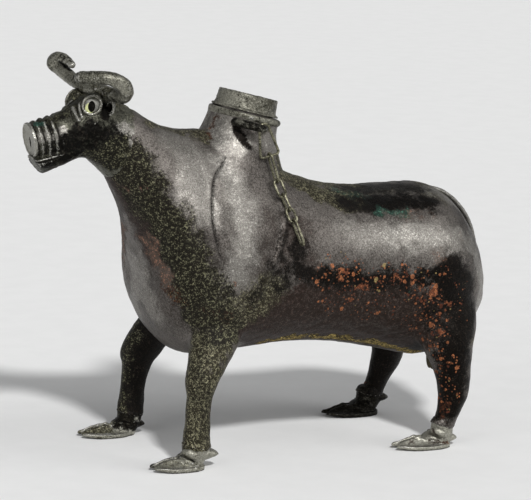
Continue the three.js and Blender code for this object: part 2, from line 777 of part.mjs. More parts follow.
function chain() {
  const start = lugPoint([lugLimb, lugReach - 5]).addScaledVector(chainDown, -lugRod - wire - linkGap);
  const links = [{ geometry: stirrupGeometry(), pitch: stirrupHeight }];
  linkLengths.forEach((length, i) => {
    const edgeOn = i % 2 === 0;
    const geometry = linkGeometry(length);
    if (edgeOn) geometry.rotateZ(Math.PI / 2).translate(0, 0, linkSeat);
    links.push({ geometry, pitch: edgeOn ? length - 2 * linkSeat : length });
  });

  const root = new THREE.Group();
  root.position.copy(start);
  root.rotation.y = -chainLean;
  let parent = root;
  let pivot = start;
  let parentAngle = 0;
  links.forEach(({ geometry, pitch }, i) => {
    const angle = restAngle(pivot, pitch);
    const hinge = new THREE.Group();
    hinge.position.z = i === 0 ? 0 : -links[i - 1].pitch;
    hinge.rotation.x = parentAngle - angle;
    const link = new THREE.Mesh(geometry, finishes.wire);
    link.name = `chain_link_${i + 1}`;
    hinge.add(link);
    parent.add(hinge);
    parent = hinge;
    parentAngle = angle;
    pivot = pivot.clone()
      .addScaledVector(chainDown, pitch * Math.cos(angle))
      .addScaledVector(across, -pitch * Math.sin(angle));
  });
  return root;
}

// Assembly

const animal = new THREE.Group();
const place = (name, shape, finish) => animal.add(meshOf(name, shape, finish));

place('body_shell', bodyShell, finishes.body);
place('neck_moulding', moulding, finishes.collar);
place('rim_band', rimBand, finishes.collar);
place('chain_lug', lugSolid(), finishes.collar);
place('head', headSolid, finishes.head);
place('nose_plate', nosePlate, finishes.head);
place('horn_bar', hornSolid(0).subtract(headGrown), finishes.head);
place('tail', tailSolid(), finishes.body);
place('scrotum', scrotumSolid(), finishes.leg);

for (const [sideName, sign] of [['left', -1], ['right', 1]]) {
  place(`ear_${sideName}`, ear(sign), finishes.head);
  place(`eye_ring_${sideName}`, eyeRing(sign), finishes.head);
  place(`eye_inlay_${sideName}`, eyeInlay(sign), finishes.inlay);
  const fore = legAndFoot(foreLegStations, stance[`front_${sideName}`], foreFootLength);
  const hind = legAndFoot(hindLegStations, stance[`hind_${sideName}`], hindFootLength);
  place(`front_leg_${sideName}`, fore.leg, finishes.leg);
  place(`front_foot_${sideName}`, fore.foot, finishes.foot);
  place(`hind_leg_${sideName}`, hind.leg, finishes.leg);
  place(`hind_foot_${sideName}`, hind.foot, finishes.foot);
}
animal.add(chain());

// The origin stands on the ground, under the middle of the bounding box
const box = new THREE.Box3().setFromObject(animal, true);
animal.position.set(-(box.min.x + box.max.x) / 2, -(box.min.y + box.max.y) / 2, -box.min.z);

const vessel = new THREE.Group();
vessel.add(animal);

export default vessel;
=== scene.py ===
"""Dresses the bull vessel: cast skin, head, horns, collar, feet, tail and chain, in worn and patinated bronze."""

import logging
import math
from dataclasses import dataclass, field
from enum import Enum

import bmesh
import bpy
import numpy as np
from mathutils import Matrix, Vector


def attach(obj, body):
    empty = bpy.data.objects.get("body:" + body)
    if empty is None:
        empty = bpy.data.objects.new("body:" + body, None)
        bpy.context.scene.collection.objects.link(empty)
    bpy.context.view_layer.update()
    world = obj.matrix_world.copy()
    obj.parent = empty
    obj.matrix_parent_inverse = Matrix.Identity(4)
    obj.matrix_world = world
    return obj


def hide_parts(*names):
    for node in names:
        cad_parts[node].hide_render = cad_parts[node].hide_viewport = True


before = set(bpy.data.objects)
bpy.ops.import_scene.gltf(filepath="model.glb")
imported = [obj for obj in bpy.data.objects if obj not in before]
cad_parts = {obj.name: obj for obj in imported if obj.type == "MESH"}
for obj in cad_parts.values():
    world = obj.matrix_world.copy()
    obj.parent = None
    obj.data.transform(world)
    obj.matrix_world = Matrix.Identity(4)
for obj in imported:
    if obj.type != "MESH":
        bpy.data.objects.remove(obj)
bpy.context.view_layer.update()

log = logging.getLogger("vessel")

MM = 0.001
SHIFT = Vector((8.38, 0.0, 1.7))

Point = tuple[float, float, float]
Ring = list[Vector]

ACROSS = Vector((0.0, 1.0, 0.0))
ALONG = Vector((1.0, 0.0, 0.0))
UPWARD = Vector((0.0, 0.0, 1.0))


def place(x: float, y: float, z: float) -> Vector:
    """A point of the vessel's own millimetres, in metres of the shared frame."""
    return (Vector((x, y, z)) + SHIFT) * MM


class Side(Enum):
    """The bull's left side is towards -Y."""

    LEFT = -1
    RIGHT = 1


# Curves and sections


def spline(values: list[tuple[float, ...]], u: float) -> tuple[float, ...]:
    """Reads a smooth curve through evenly spaced values.

    Args:
        values: the values that the curve passes through.
        u: how far along, from 0 to 1.

    Returns:
        The curve's value there.
    """
    spans = len(values) - 1
    at = min(max(u, 0.0), 1.0) * spans
    i = min(int(at), spans - 1)
    t = at - i
    a, b = values[i], values[i + 1]
    before = values[i - 1] if i > 0 else tuple(2 * p - q for p, q in zip(a, b))
    after = values[i + 2] if i + 2 <= spans else tuple(2 * q - p for p, q in zip(a, b))
    out = []
    for p0, p1, p2, p3 in zip(before, a, b, after):
        out.append(0.5 * (2 * p1 + (p2 - p0) * t + (2 * p0 - 5 * p1 + 4 * p2 - p3) * t * t
                          + (3 * p1 - p0 - 3 * p2 + p3) * t ** 3))
    return tuple(out)


def smoothstep(low: float, high: float, value: float) -> float:
    """Rises from 0 at low to 1 at high, level at both ends."""
    t = min(max((value - low) / (high - low), 0.0), 1.0)
    return t * t * (3 - 2 * t)


def between(first: float, second: float, share: float) -> float:
    """The number a share of the way from the first to the second."""
    return first + (second - first) * share


def oval(centre: Vector, first: Vector, second: Vector, a: float, b: float, sides: int) -> Ring:
    """The points of an ellipse about centre, with half-axes a and b along first and second."""
    turn = 2 * math.pi / sides
    return [centre + first * (a * math.cos(turn * i)) + second * (b * math.sin(turn * i)) for i in range(sides)]


@dataclass(frozen=True)
class Section:
    """A pear-shaped section that stands on the middle plane from a low point to a high one."""

    low: tuple[float, float]
    high: tuple[float, float]
    half_width: float
    heavy: float = 0.0

    def numbers(self) -> tuple[float, ...]:
        """The section as plain numbers, for a spline."""
        return (*self.low, *self.high, self.half_width, self.heavy)


def section_ring(numbers: tuple[float, ...], sides: int, shrink: float = 1.0) -> Ring:
    """Sets out a section's points.

    Args:
        numbers: a Section's numbers.
        sides: the number of points.
        shrink: 1 for the full section, less towards a closed end.

    Returns:
        The ring, in vessel millimetres.
    """
    low_x, low_z, high_x, high_z, half_width, heavy = numbers
    low, high = Vector((low_x, 0, low_z)), Vector((high_x, 0, high_z))
    centre, up = (low + high) / 2, (high - low) / 2
    ring = []
    for i in range(sides):
        angle = 2 * math.pi * i / sides
        reach = half_width * math.cos(angle) * (1 - heavy * math.sin(angle))
        ring.append(centre + ACROSS * (shrink * reach) + up * (shrink * math.sin(angle)))
    return ring


# Mesh work


def only(*objs: bpy.types.Object) -> None:
    """Selects these objects alone, the first of them active."""
    for other in bpy.context.selected_objects:
        other.select_set(False)
    for obj in objs:
        obj.select_set(True)
    if objs:
        bpy.context.view_layer.objects.active = objs[0]


def loft(name: str, rings: list[Ring], loop: bool = False) -> bpy.types.Object:
    """Extrudes a circle from ring to ring, each put in its place, and closes it.

    Args:
        name: the new piece's name.
        rings: rings of points in vessel millimetres, all of one length.
        loop: whether the last ring joins the first, as in a hoop.

    Returns:
        A closed piece that faces out.
    """
    sides = len(rings[0])
    only()
    bpy.ops.mesh.primitive_circle_add(vertices=sides, radius=1.0)
    obj = bpy.context.active_object
    obj.name = name
    bpy.ops.object.mode_set(mode="EDIT")
    mesh = bmesh.from_edit_mesh(obj.data)
    mesh.verts.ensure_lookup_table()
    for vert, point in zip(mesh.verts, rings[0]):
        vert.co = place(*point)
    bmesh.update_edit_mesh(obj.data)
    for before, ring in zip(rings, rings[1:]):
        bpy.ops.mesh.extrude_region_move()
        mesh = bmesh.from_edit_mesh(obj.data)
        where = {tuple(round(c, 7) for c in place(*point)): point_on for point, point_on in zip(before, ring)}
        for vert in mesh.verts:
            if vert.select:
                vert.co = place(*where[tuple(round(c, 7) for c in vert.co)])
        bmesh.update_edit_mesh(obj.data)
    mesh = bmesh.from_edit_mesh(obj.data)
    edges = [e for e in mesh.edges if len(e.link_faces) == 1]
    for e in mesh.edges:
        e.select_set(False)
    for e in edges:
        e.select_set(True)
    bmesh.update_edit_mesh(obj.data)
    if loop:
        bpy.ops.mesh.bridge_edge_loops()
    else:
        bpy.ops.mesh.fill_holes(sides=0)
        cap_ends(obj)
    bpy.ops.mesh.select_all(action="SELECT")
    bpy.ops.mesh.normals_make_consistent(inside=False)
    bpy.ops.object.mode_set(mode="OBJECT")
    settle(obj)
    return obj


def cap_ends(obj: bpy.types.Object) -> None:
    """Turns each many-sided end of the piece in edit mode into a fan."""
    mesh = bmesh.from_edit_mesh(obj.data)
    for face in mesh.faces:
        face.select_set(len(face.verts) > 4)
    bmesh.update_edit_mesh(obj.data)
    bpy.ops.mesh.poke()


def settle(obj: bpy.types.Object) -> None:
    """Puts the object's own place into its mesh, so that it sits at the origin."""
    only(obj)
    bpy.ops.object.transform_apply(location=True, rotation=True, scale=True)


def modify(obj: bpy.types.Object, kind: str, **settings: object) -> None:
    """Adds a modifier to the piece and applies it.

    Args:
        obj: the piece.
        kind: the modifier's type.
        settings: its settings.
    """
    only(obj)
    modifier = obj.modifiers.new(kind.title(), kind)
    for key, value in settings.items():
        setattr(modifier, key, value)
    bpy.ops.object.modifier_apply(modifier=modifier.name)


def joined(name: str, pieces: list[bpy.types.Object]) -> bpy.types.Object:
    """Joins pieces into one object."""
    only(*pieces)
    bpy.ops.object.join()
    obj = bpy.context.active_object
    obj.name = name
    return obj


def run_together(name: str, pieces: list[bpy.types.Object], voxel: float, smooth: int) -> bpy.types.Object:
    """Melts pieces into one skin with softened joins.

    Args:
        name: the skin's name.
        pieces: closed pieces that overlap.
        voxel: the skin's grain, in millimetres.
        smooth: rounds of smoothing.

    Returns:
        The skin.
    """
    skin = joined(name, pieces)
    modify(skin, "REMESH", mode="VOXEL", voxel_size=voxel * MM)
    modify(skin, "SMOOTH", factor=0.5, iterations=smooth)
    return skin


def cut(obj: bpy.types.Object, cutter: bpy.types.Object) -> None:
    """Cuts one closed piece out of another and clears it away."""
    modify(obj, "BOOLEAN", operation="DIFFERENCE", object=cutter, solver="EXACT")
    bpy.data.objects.remove(cutter)


def lump(name: str, centre: Point, radii: Point, segments: int = 24) -> bpy.types.Object:
    """A rounded lump, pulled a little out of round."""
    only()
    bpy.ops.mesh.primitive_uv_sphere_add(segments=segments, ring_count=segments // 2, radius=1.0)
    obj = bpy.context.active_object
    obj.name = name
    for vert in obj.data.vertices:
        point = Vector((vert.co.x * radii[0], vert.co.y * radii[1], vert.co.z * radii[2]))
        wobble = 1 + 0.03 * math.sin(4 * vert.co.x + 3 * vert.co.y + 2 * vert.co.z)
        vert.co = place(*(Vector(centre) + point * wobble))
    return obj


def tube(name: str, path: list[Point], radii: list[float], steps: int, sides: int,
         loop: bool = False) -> bpy.types.Object:
    """A round bar along a smooth path, whose thickness changes on the way.

    Args:
        name: the piece's name.
        path: points that it passes through.
        radii: its radius from start to end, evenly spaced.
        steps: how many rings it has.
        sides: how many sides a ring has.
        loop: whether the path closes on itself.

    Returns:
        The bar.
    """
    count = steps if loop else steps + 1
    route = [*path, path[0]] if loop else path
    points = [Vector(spline(route, i / steps)) for i in range(count)]
    thick = [spline([(r,) for r in radii], i / steps)[0] for i in range(count)]
    normal = ACROSS.copy()
    rings = []
    for i, point in enumerate(points):
        after = points[(i + 1) % count] if loop else points[min(i + 1, count - 1)]
        before = points[i - 1] if loop else points[max(i - 1, 0)]
        ahead = (after - before).normalized()
        if abs(normal.dot(ahead)) > 0.98:
            normal = UPWARD.copy()
        normal = (normal - ahead * normal.dot(ahead)).normalized()
        rings.append(oval(point, normal, ahead.cross(normal), thick[i], thick[i], sides))
    return loft(name, rings, loop)


# Shaping a skin like clay


def ripple(points: np.ndarray, size: float, phase: float) -> np.ndarray:
    """Gentle uneven waves over points, from about -1 to 1.

    Args:
        points: one row to a point.
        size: the length of a wave, in the points' units.
        phase: where the waves start.

    Returns:
        The wave's height at each point.
    """
    bent = points + size * 0.35 * np.sin(points[:, [1, 2, 0]] * (4.1 / size) + phase)
    total = np.zeros(len(points))
    for k, direction in enumerate(((1.0, 0.7, -0.4), (-0.6, 1.1, 0.5), (0.3, -0.8, 1.2), (0.9, 0.2, 0.9))):
        total += np.sin(bent @ np.array(direction) * (2 * math.pi / size) * (1 + 0.31 * k) + phase + 1.7 * k)
    return total / 2.6


def to_path(points: np.ndarray, path: list[tuple[float, ...]]) -> np.ndarray:
    """The distance from each point to a path of straight stretches."""
    best = np.full(len(points), np.inf)
    for start, end in zip(path, path[1:] or path):
        a, span = np.array(start), np.array(end) - np.array(start)
        t = np.clip((points - a) @ span / max(float(span @ span), 1e-9), 0, 1)
        best = np.minimum(best, np.linalg.norm(points - a - t[:, None] * span, axis=1))
    return best


def fade(distance: np.ndarray, core: float, reach: float) -> np.ndarray:
    """1 up to the core distance, falling softly to 0 at the reach."""
    t = np.clip((reach - distance) / (reach - core), 0, 1)
    return t * t * (3 - 2 * t)


def bell(distance: np.ndarray, width: float) -> np.ndarray:
    """1 on a line, falling away to nothing beside it."""
    return np.exp(-(distance / width) ** 2)


class Clay:
    """The points of a piece, to press, raise and stain."""

    def __init__(self, piece: bpy.types.Object) -> None:
        """Reads the piece's points and the way they face."""
        count = len(piece.data.vertices)
        places, facing = np.empty(count * 3), np.empty(count * 3)
        piece.data.vertices.foreach_get("co", places)
        piece.data.vertices.foreach_get("normal", facing)
        self.piece = piece
        self.own = places.reshape(-1, 3) / MM - np.array(SHIFT)
        self.out = facing.reshape(-1, 3)
        self.rise = np.zeros(count)

    @property
    def folded(self) -> np.ndarray:
        """The points with the right side folded over onto the left."""
        return np.stack((self.own[:, 0], -np.abs(self.own[:, 1]), self.own[:, 2]), axis=1)

    @property
    def side_view(self) -> np.ndarray:
        """Where the points lie seen from the side."""
        return self.own[:, [0, 2]]

    def press(self) -> None:
        """Moves every point out by its rise, or in where the rise is negative."""
        self.own = self.own + self.out * self.rise[:, None]
        places = (self.own + np.array(SHIFT)) * MM
        self.piece.data.vertices.foreach_set("co", places.ravel())
        self.piece.data.update()
        self.rise = np.zeros(len(self.own))

    def flatten(self, floor: float) -> None:
        """Lifts every point that lies below the floor height up to it."""
        self.own[:, 2] = np.maximum(self.own[:, 2], floor)
        self.press()

    def bend(self, rounds: int) -> np.ndarray:
        """How sharply the piece bends at each point, in turns to a millimetre.

        Args:
            rounds: how many times the result is spread to its neighbours.

        Returns:
            The bend: above 0 on a ridge and below 0 in a groove.
        """
        mesh, count = self.piece.data, len(self.own)
        ends = np.empty(len(mesh.edges) * 2, dtype=np.int64)
        mesh.edges.foreach_get("vertices", ends)
        ends = ends.reshape(-1, 2)
        normals = np.empty(count * 3)
        mesh.vertices.foreach_get("normal", normals)
        degree = np.maximum(np.bincount(ends.ravel(), minlength=count), 1)

        def around(values: np.ndarray) -> np.ndarray:
            """The mean of each point's neighbours."""
            return (np.bincount(ends[:, 0], values[ends[:, 1]], count)
                    + np.bincount(ends[:, 1], values[ends[:, 0]], count)) / degree

        mean = np.stack([around(self.own[:, axis]) for axis in range(3)], axis=1)
        length = np.linalg.norm(self.own[ends[:, 0]] - self.own[ends[:, 1]], axis=1) ** 2
        square = (np.bincount(ends[:, 0], length, count) + np.bincount(ends[:, 1], length, count)) / degree
        bend = -np.sum((mean - self.own) * normals.reshape(-1, 3), axis=1) / np.maximum(square, 1e-6)
        for _ in range(rounds):
            bend = 0.4 * bend + 0.6 * around(bend)
        return bend

    def keep(self, name: str, values: np.ndarray) -> None:
        """Stores one number a point on the piece, for its material to read."""
        layer = self.piece.data.attributes.new(name, "FLOAT", "POINT")
        layer.data.foreach_set("value", np.clip(values, 0, 1).astype(np.float32))


# Shader maths


class Value:
    """A socket that can be used in sums."""

    def __init__(self, shader: "Shader", socket: bpy.types.NodeSocket) -> None:
        """Keeps the socket and the shader it is in."""
        self.shader = shader
        self.socket = socket

    def maths(self, operation: str, *others: "Value | float", clamp: bool = False) -> "Value":
        """Adds one Math node on this value and others."""
        node = self.shader.node("ShaderNodeMath", {"operation": operation, "use_clamp": clamp},
                                dict(enumerate((self, *others))))
        return Value(self.shader, node.outputs[0])

    def __add__(self, other: "Value | float") -> "Value":
        """The sum."""
        return self.maths("ADD", other)

    __radd__ = __add__

    def __mul__(self, other: "Value | float") -> "Value":
        """The product."""
        return self.maths("MULTIPLY", other)

    __rmul__ = __mul__

    def __sub__(self, other: "Value | float") -> "Value":
        """The difference."""
        return self.maths("SUBTRACT", other)

    def __rsub__(self, other: float) -> "Value":
        """The difference, from a number."""
        return (self * -1.0) + other

    def clamped(self) -> "Value":
        """The value, kept between 0 and 1."""
        return self.maths("ADD", 0.0, clamp=True)

    def ramp(self, low: float, high: float) -> "Value":
        """0 at low, 1 at high, smooth between."""
        node = self.shader.node("ShaderNodeMapRange", {"interpolation_type": "SMOOTHSTEP"},
                                {"Value": self, "From Min": low, "From Max": high, "To Min": 0.0, "To Max": 1.0})
        return Value(self.shader, node.outputs[0])


class Shader:
    """Builds one material out of nodes."""

    def __init__(self, name: str) -> None:
        """Starts an empty material."""
        self.material = bpy.data.materials.new(name)
        self.material.use_nodes = True
        self.tree = self.material.node_tree
        self.tree.nodes.clear()
        self.place = self.output("ShaderNodeTexCoord", {}, {}, "Object")

    def node(self, kind: str, settings: dict, sockets: dict) -> bpy.types.Node:
        """Adds a node.

        Args:
            kind: the node's type.
            settings: its settings, set first.
            sockets: values or links of its sockets, by name or number.

        Returns:
            The node.
        """
        made = self.tree.nodes.new(kind)
        for key, value in settings.items():
            setattr(made, key, value)
        for key, value in sockets.items():
            if isinstance(value, Value):
                self.tree.links.new(value.socket, made.inputs[key])
            else:
                made.inputs[key].default_value = value
        return made

    def output(self, kind: str, settings: dict, sockets: dict, name: "str | int" = 0) -> Value:
        """Adds a node and gives one of its outputs."""
        return Value(self, self.node(kind, settings, sockets).outputs[name])

    def noise(self, scale: float, detail: float = 4.0, rough: float = 0.6) -> Value:
        """Noise over the object's own coordinates, scale in waves to a metre."""
        return self.output("ShaderNodeTexNoise", {"noise_dimensions": "3D"},
                           {"Vector": self.place, "Scale": scale, "Detail": detail, "Roughness": rough}, "Fac")

    def grains(self, scale: float) -> list[Value]:
        """Three numbers from 0 to 1 that differ from grain to grain, scale in grains to a metre."""
        cells = self.node("ShaderNodeTexVoronoi", {}, {"Vector": self.place, "Scale": scale, "Randomness": 1.0})
        parts = self.node("ShaderNodeSeparateColor", {}, {0: Value(self, cells.outputs["Color"])})
        return [Value(self, output) for output in parts.outputs]

    def kept(self, name: str) -> Value:
        """A number stored on the piece's points."""
        return self.output("ShaderNodeAttribute", {"attribute_name": name, "attribute_type": "GEOMETRY"}, {}, "Fac")

    def mix(self, factor: "Value | float", first: "Value | Point", second: "Value | Point") -> Value:
        """A mix of two colours."""
        made = self.node("ShaderNodeMix", {"data_type": "RGBA"}, {})
        for index, value in ((0, factor), (6, first), (7, second)):
            if isinstance(value, Value):
                self.tree.links.new(value.socket, made.inputs[index])
            elif index == 0:
                made.inputs[index].default_value = value
            else:
                made.inputs[index].default_value = (*value, 1.0)
        return Value(self, made.outputs[2])

    def spots(self, scale: float, size: float, presence: Value) -> tuple[Value, Value]:
        """Scattered spots of uneven size.

        Args:
            scale: how many cells to a metre.
            size: the largest spot's radius, as a share of a cell.
            presence: how likely a spot is, from 0 to 1.

        Returns:
            The spots' mask, and a number that differs from spot to spot.
        """
        frayed = self.output("ShaderNodeTexNoise", {}, {"Vector": self.place, "Scale": scale * 2.6, "Detail": 3.0},
                             "Color")
        stray = self.output("ShaderNodeVectorMath", {"operation": "SCALE"}, {0: frayed, "Scale": 0.55 / scale})
        where = self.output("ShaderNodeVectorMath", {"operation": "ADD"}, {0: self.place, 1: stray})
        cells = self.node("ShaderNodeTexVoronoi", {}, {"Vector": where, "Scale": scale, "Randomness": 1.0})
        parts = self.node("ShaderNodeSeparateColor", {}, {0: Value(self, cells.outputs["Color"])})
        chance, own = Value(self, parts.outputs[0]), Value(self, parts.outputs[1])
        radius = (presence - chance).ramp(0.0, 0.45) * size
        return (radius - Value(self, cells.outputs["Distance"])).ramp(0.0, 0.1), own


# Finishes


class Stain(Enum):
    """A kind of patina that covers part of a piece; the bare kind also paints sheen and the soot kind also paints
    shade.
    """

    # Bare metal, also laid as a painted sheen where light would shine.
    BARE = "bare"
    UMBER = "umber"
    OLIVE = "olive"
    VERDIGRIS = "verdigris"
    # Near-black patina, also laid as painted shade where shade would fall.
    SOOT = "soot"
    TEAL = "teal"
    RUST = "rust"
    SALMON = "salmon"
    OCHRE = "ochre"
    SPOTS = "spots"
    CAKE = "cake"
    CREASE = "crease"
    WORN = "worn"


@dataclass(frozen=True)
class Tint:
    """How a kind of stain looks."""

    stain: Stain
    colour: Point
    fleck: Point
    share: float
    grain: float
    clump: float
    roughness: float
    metallic: float
    height: float = 0.0
    edge: float = 0.14


TINTS = (
    # The bare tint: bright bare metal, which also serves as a painted sheen where patches put it.
    Tint(Stain.BARE, (0.265, 0.250, 0.226), (0.53, 0.508, 0.462), 0.50, 420, 0.35, 0.34, 0.85, 0.05, 0.9),
    Tint(Stain.UMBER, (0.022, 0.014, 0.011), (0.105, 0.068, 0.057), 0.42, 420, 0.4, 0.50, 0.6, 0.05, 0.7),
    Tint(Stain.OLIVE, (0.024, 0.021, 0.012), (0.30, 0.283, 0.18), 0.56, 480, 0.4, 0.50, 0.5, 0.15, 0.45),
    Tint(Stain.VERDIGRIS, (0.009, 0.008, 0.005), (0.235, 0.228, 0.140), 0.42, 520, 0.4, 0.53, 0.5, 0.2, 0.4),
    # The soot tint: near-black patina, which also serves as painted shade where patches put it, as under the lug and
    # along the lower flank.
    Tint(Stain.SOOT, (0.0045, 0.004, 0.0035), (0.055, 0.043, 0.034), 0.18, 420, 0.4, 0.42, 0.85, 0.0, 0.6),
    Tint(Stain.TEAL, (0.014, 0.040, 0.030), (0.09, 0.24, 0.17), 0.40, 420, 0.5, 0.60, 0.3, 0.15, 0.4),
    Tint(Stain.RUST, (0.045, 0.016, 0.008), (0.34, 0.11, 0.03), 0.45, 420, 0.5, 0.62, 0.3, 0.15, 0.3),
    Tint(Stain.SALMON, (0.085, 0.062, 0.048), (0.60, 0.30, 0.20), 0.46, 560, 0.4, 0.62, 0.2, 0.2, 0.7),
    Tint(Stain.OCHRE, (0.035, 0.026, 0.010), (0.60, 0.45, 0.14), 0.62, 420, 0.5, 0.75, 0.1, 0.4, 0.2),
    Tint(Stain.CAKE, (0.13, 0.040, 0.018), (0.44, 0.17, 0.075), 0.50, 420, 0.6, 0.68, 0.05, 0.6, 0.15),
    Tint(Stain.CREASE, (0.007, 0.006, 0.005), (0.03, 0.026, 0.02), 0.20, 700, 0.2, 0.7, 0.5, -0.1, 0.4),
    Tint(Stain.WORN, (0.30, 0.292, 0.26), (0.60, 0.59, 0.55), 0.60, 600, 0.5, 0.28, 0.9, 0.0, 0.2),
)


@dataclass(frozen=True)
class Finish:
    """A bronze finish: the metal, its mottling and the dirt on it."""

    name: str
    slot: str
    metal: Point
    dark: Point
    dirt: Point
    dirt_share: float
    roughness: float
    metallic: float = 0.7
    grain: float = 820.0
    relief: float = 0.5
    pores: float = 0.6
    tints: tuple[Stain, ...] = ()


def patinated(finish: Finish) -> bpy.types.Material:
    """Builds the material of a bronze finish.

    Args:
        finish: the finish.

    Returns:
        The material.
    """
    shader = Shader(finish.name)
    cloud = shader.noise(34.0, 3.0)
    grain = shader.noise(finish.grain, 3.0, 0.75)
    fine = shader.noise(finish.grain * 2.3, 2.0, 0.7)
    mottle = cloud * 0.30 + grain * 0.42 + fine * 0.28
    colour = shader.mix(mottle.ramp(0.40, 0.60), finish.dark, finish.metal)
    dirt = (shader.noise(150.0, 7.0, 0.7) * 0.55 + grain * 0.45).ramp(0.66 - 0.26 * finish.dirt_share,
                                                                    0.74 - 0.26 * finish.dirt_share)
    colour = shader.mix(dirt, colour, finish.dirt)
    rough = finish.roughness + (mottle - 0.5) * 0.5 + dirt * 0.2
    metallic = finish.metallic - dirt * 0.4
    height = grain * 0.6 + fine * 0.4 + dirt * 0.15
    fine_grains, coarse_grains = shader.grains(1900.0), shader.grains(1150.0)
    # Each tint follows its stored amount; the bare one also paints sheen and the soot one also paints shade.
    for index, tint in enumerate(t for t in TINTS if t.stain in finish.tints):
        amount = shader.kept(tint.stain.value)
        clump = shader.noise(tint.grain, 4.0, 0.75).ramp(0.34, 0.66)
        chance = clump * tint.clump + fine_grains[index % 3] * (1 - tint.clump)
        mask = (amount * (1.0 + tint.edge) - chance - tint.edge / 2).ramp(-tint.edge, tint.edge)
        inside = clump * 0.34 + coarse_grains[index % 3] * 0.28 + fine_grains[(index + 1) % 3] * 0.38
        inside = inside.ramp(0.76 - 0.5 * tint.share, 1.10 - 0.5 * tint.share)
        colour = shader.mix(mask, colour, shader.mix(inside, tint.colour, tint.fleck))
        rough = rough + mask * (tint.roughness - finish.roughness)
        metallic = metallic + mask * (tint.metallic - finish.metallic)
        height = height + mask * (tint.height + 0.2 * tint.share)
    if Stain.SPOTS in finish.tints:
        amount = shader.kept(Stain.SPOTS.value)
        for scale, size in ((560.0, 0.36), (330.0, 0.36), (190.0, 0.34)):
            mask, own = shader.spots(scale, size, amount)
            warm = shader.mix(own.ramp(0.1, 0.8), (0.11, 0.030, 0.014), (0.42, 0.15, 0.06))
            mask = mask * (0.35 + fine_grains[0] * 0.65)
            colour = shader.mix(mask, colour, shader.mix(own.ramp(0.94, 0.96), warm, (0.34, 0.25, 0.10)))
            rough = rough + mask * 0.3
            metallic = metallic - mask * 0.6
            height = height + mask * 0.6
    pores = ((fine_grains[2] - 0.25) * finish.pores).clamped()
    colour = shader.mix(pores, colour, finish.dirt)
    bump = shader.output("ShaderNodeBump", {}, {"Strength": finish.relief, "Distance": 0.0007, "Height": height})
    surface = shader.output("ShaderNodeBsdfPrincipled", {}, {
        "Base Color": colour,
        "Roughness": rough.clamped(),
        "Metallic": metallic.clamped(),
        "Specular IOR Level": 0.15,
        "Normal": bump,
    })
    shader.node("ShaderNodeOutputMaterial", {}, {"Surface": surface})
    return shader.material


ALL_STAINS = tuple(Stain)
SKIN_FINISH = Finish("body bronze", "body_bronze", (0.190, 0.172, 0.156), (0.040, 0.035, 0.031), (0.016, 0.012, 0.009),
                     0.22, 0.41, tints=ALL_STAINS)
HEAD_FINISH = Finish("head bronze", "head_bronze", (0.15, 0.148, 0.115), (0.014, 0.0135, 0.009), (0.007, 0.007, 0.005),
                     0.50, 0.34, tints=(Stain.BARE, Stain.UMBER, Stain.OLIVE, Stain.VERDIGRIS, Stain.SOOT, Stain.TEAL,
                                        Stain.CREASE, Stain.WORN))
HORN_FINISH = Finish("horn bronze", "head_bronze", (0.37, 0.36, 0.30), (0.026, 0.025, 0.016), (0.012, 0.011, 0.006),
                     0.45, 0.30, tints=(Stain.SOOT, Stain.WORN, Stain.OLIVE))
PLATE_FINISH = Finish("plate bronze", "head_bronze", (0.42, 0.41, 0.37), (0.20, 0.195, 0.17), (0.10, 0.10, 0.07),
                      0.10, 0.42, relief=0.3, pores=0.35, tints=(Stain.CREASE, Stain.WORN))
COLLAR_FINISH = Finish("collar bronze", "collar_bronze", (0.37, 0.36, 0.30), (0.050, 0.046, 0.033),
                       (0.016, 0.015, 0.009), 0.55, 0.42, tints=(Stain.WORN, Stain.SOOT, Stain.CREASE))
FOOT_FINISH = Finish("foot bronze", "foot_bronze", (0.43, 0.42, 0.36), (0.20, 0.195, 0.16), (0.05, 0.045, 0.03),
                     0.22, 0.38, pores=0.4, tints=(Stain.OLIVE, Stain.UMBER, Stain.SOOT, Stain.RUST, Stain.CREASE, Stain.WORN))
TAIL_FINISH = Finish("tail bronze", "body_bronze", (0.34, 0.33, 0.31), (0.16, 0.155, 0.14), (0.05, 0.048, 0.03),
                     0.15, 0.44)
SHADE_FINISH = Finish("shaded bronze", "leg_bronze", (0.10, 0.085, 0.06), (0.018, 0.016, 0.012),
                      (0.10, 0.09, 0.045), 0.35, 0.52)
WIRE_FINISH = Finish("wire bronze", "wire_bronze", (0.40, 0.385, 0.27), (0.035, 0.030, 0.018), (0.012, 0.010, 0.006),
                     0.60, 0.38, metallic=0.8, relief=0.25, pores=0.4)
INLAY_FINISH = Finish("pale inlay", "inlay", (0.60, 0.63, 0.33), (0.36, 0.38, 0.17), (0.12, 0.12, 0.05), 0.15,
                      0.6, metallic=0.0, relief=0.2, pores=0.3)
SOCKET_FINISH = Finish("eye bronze", "head_bronze", (0.27, 0.265, 0.24), (0.13, 0.125, 0.11), (0.04, 0.04, 0.03),
                       0.15, 0.45, relief=0.25, pores=0.5)


@dataclass(frozen=True)
class Patch:
    """A stretch of a skin that takes a stain, which for some is a painted sheen and for others a painted shade: the
    path it follows, how wide it is, and how strong.
    """

    stain: Stain
    path: tuple[Point, ...]
    core: float
    reach: float
    strength: float = 1.0
    side: "Side | None" = None
    stray: float = 1.0


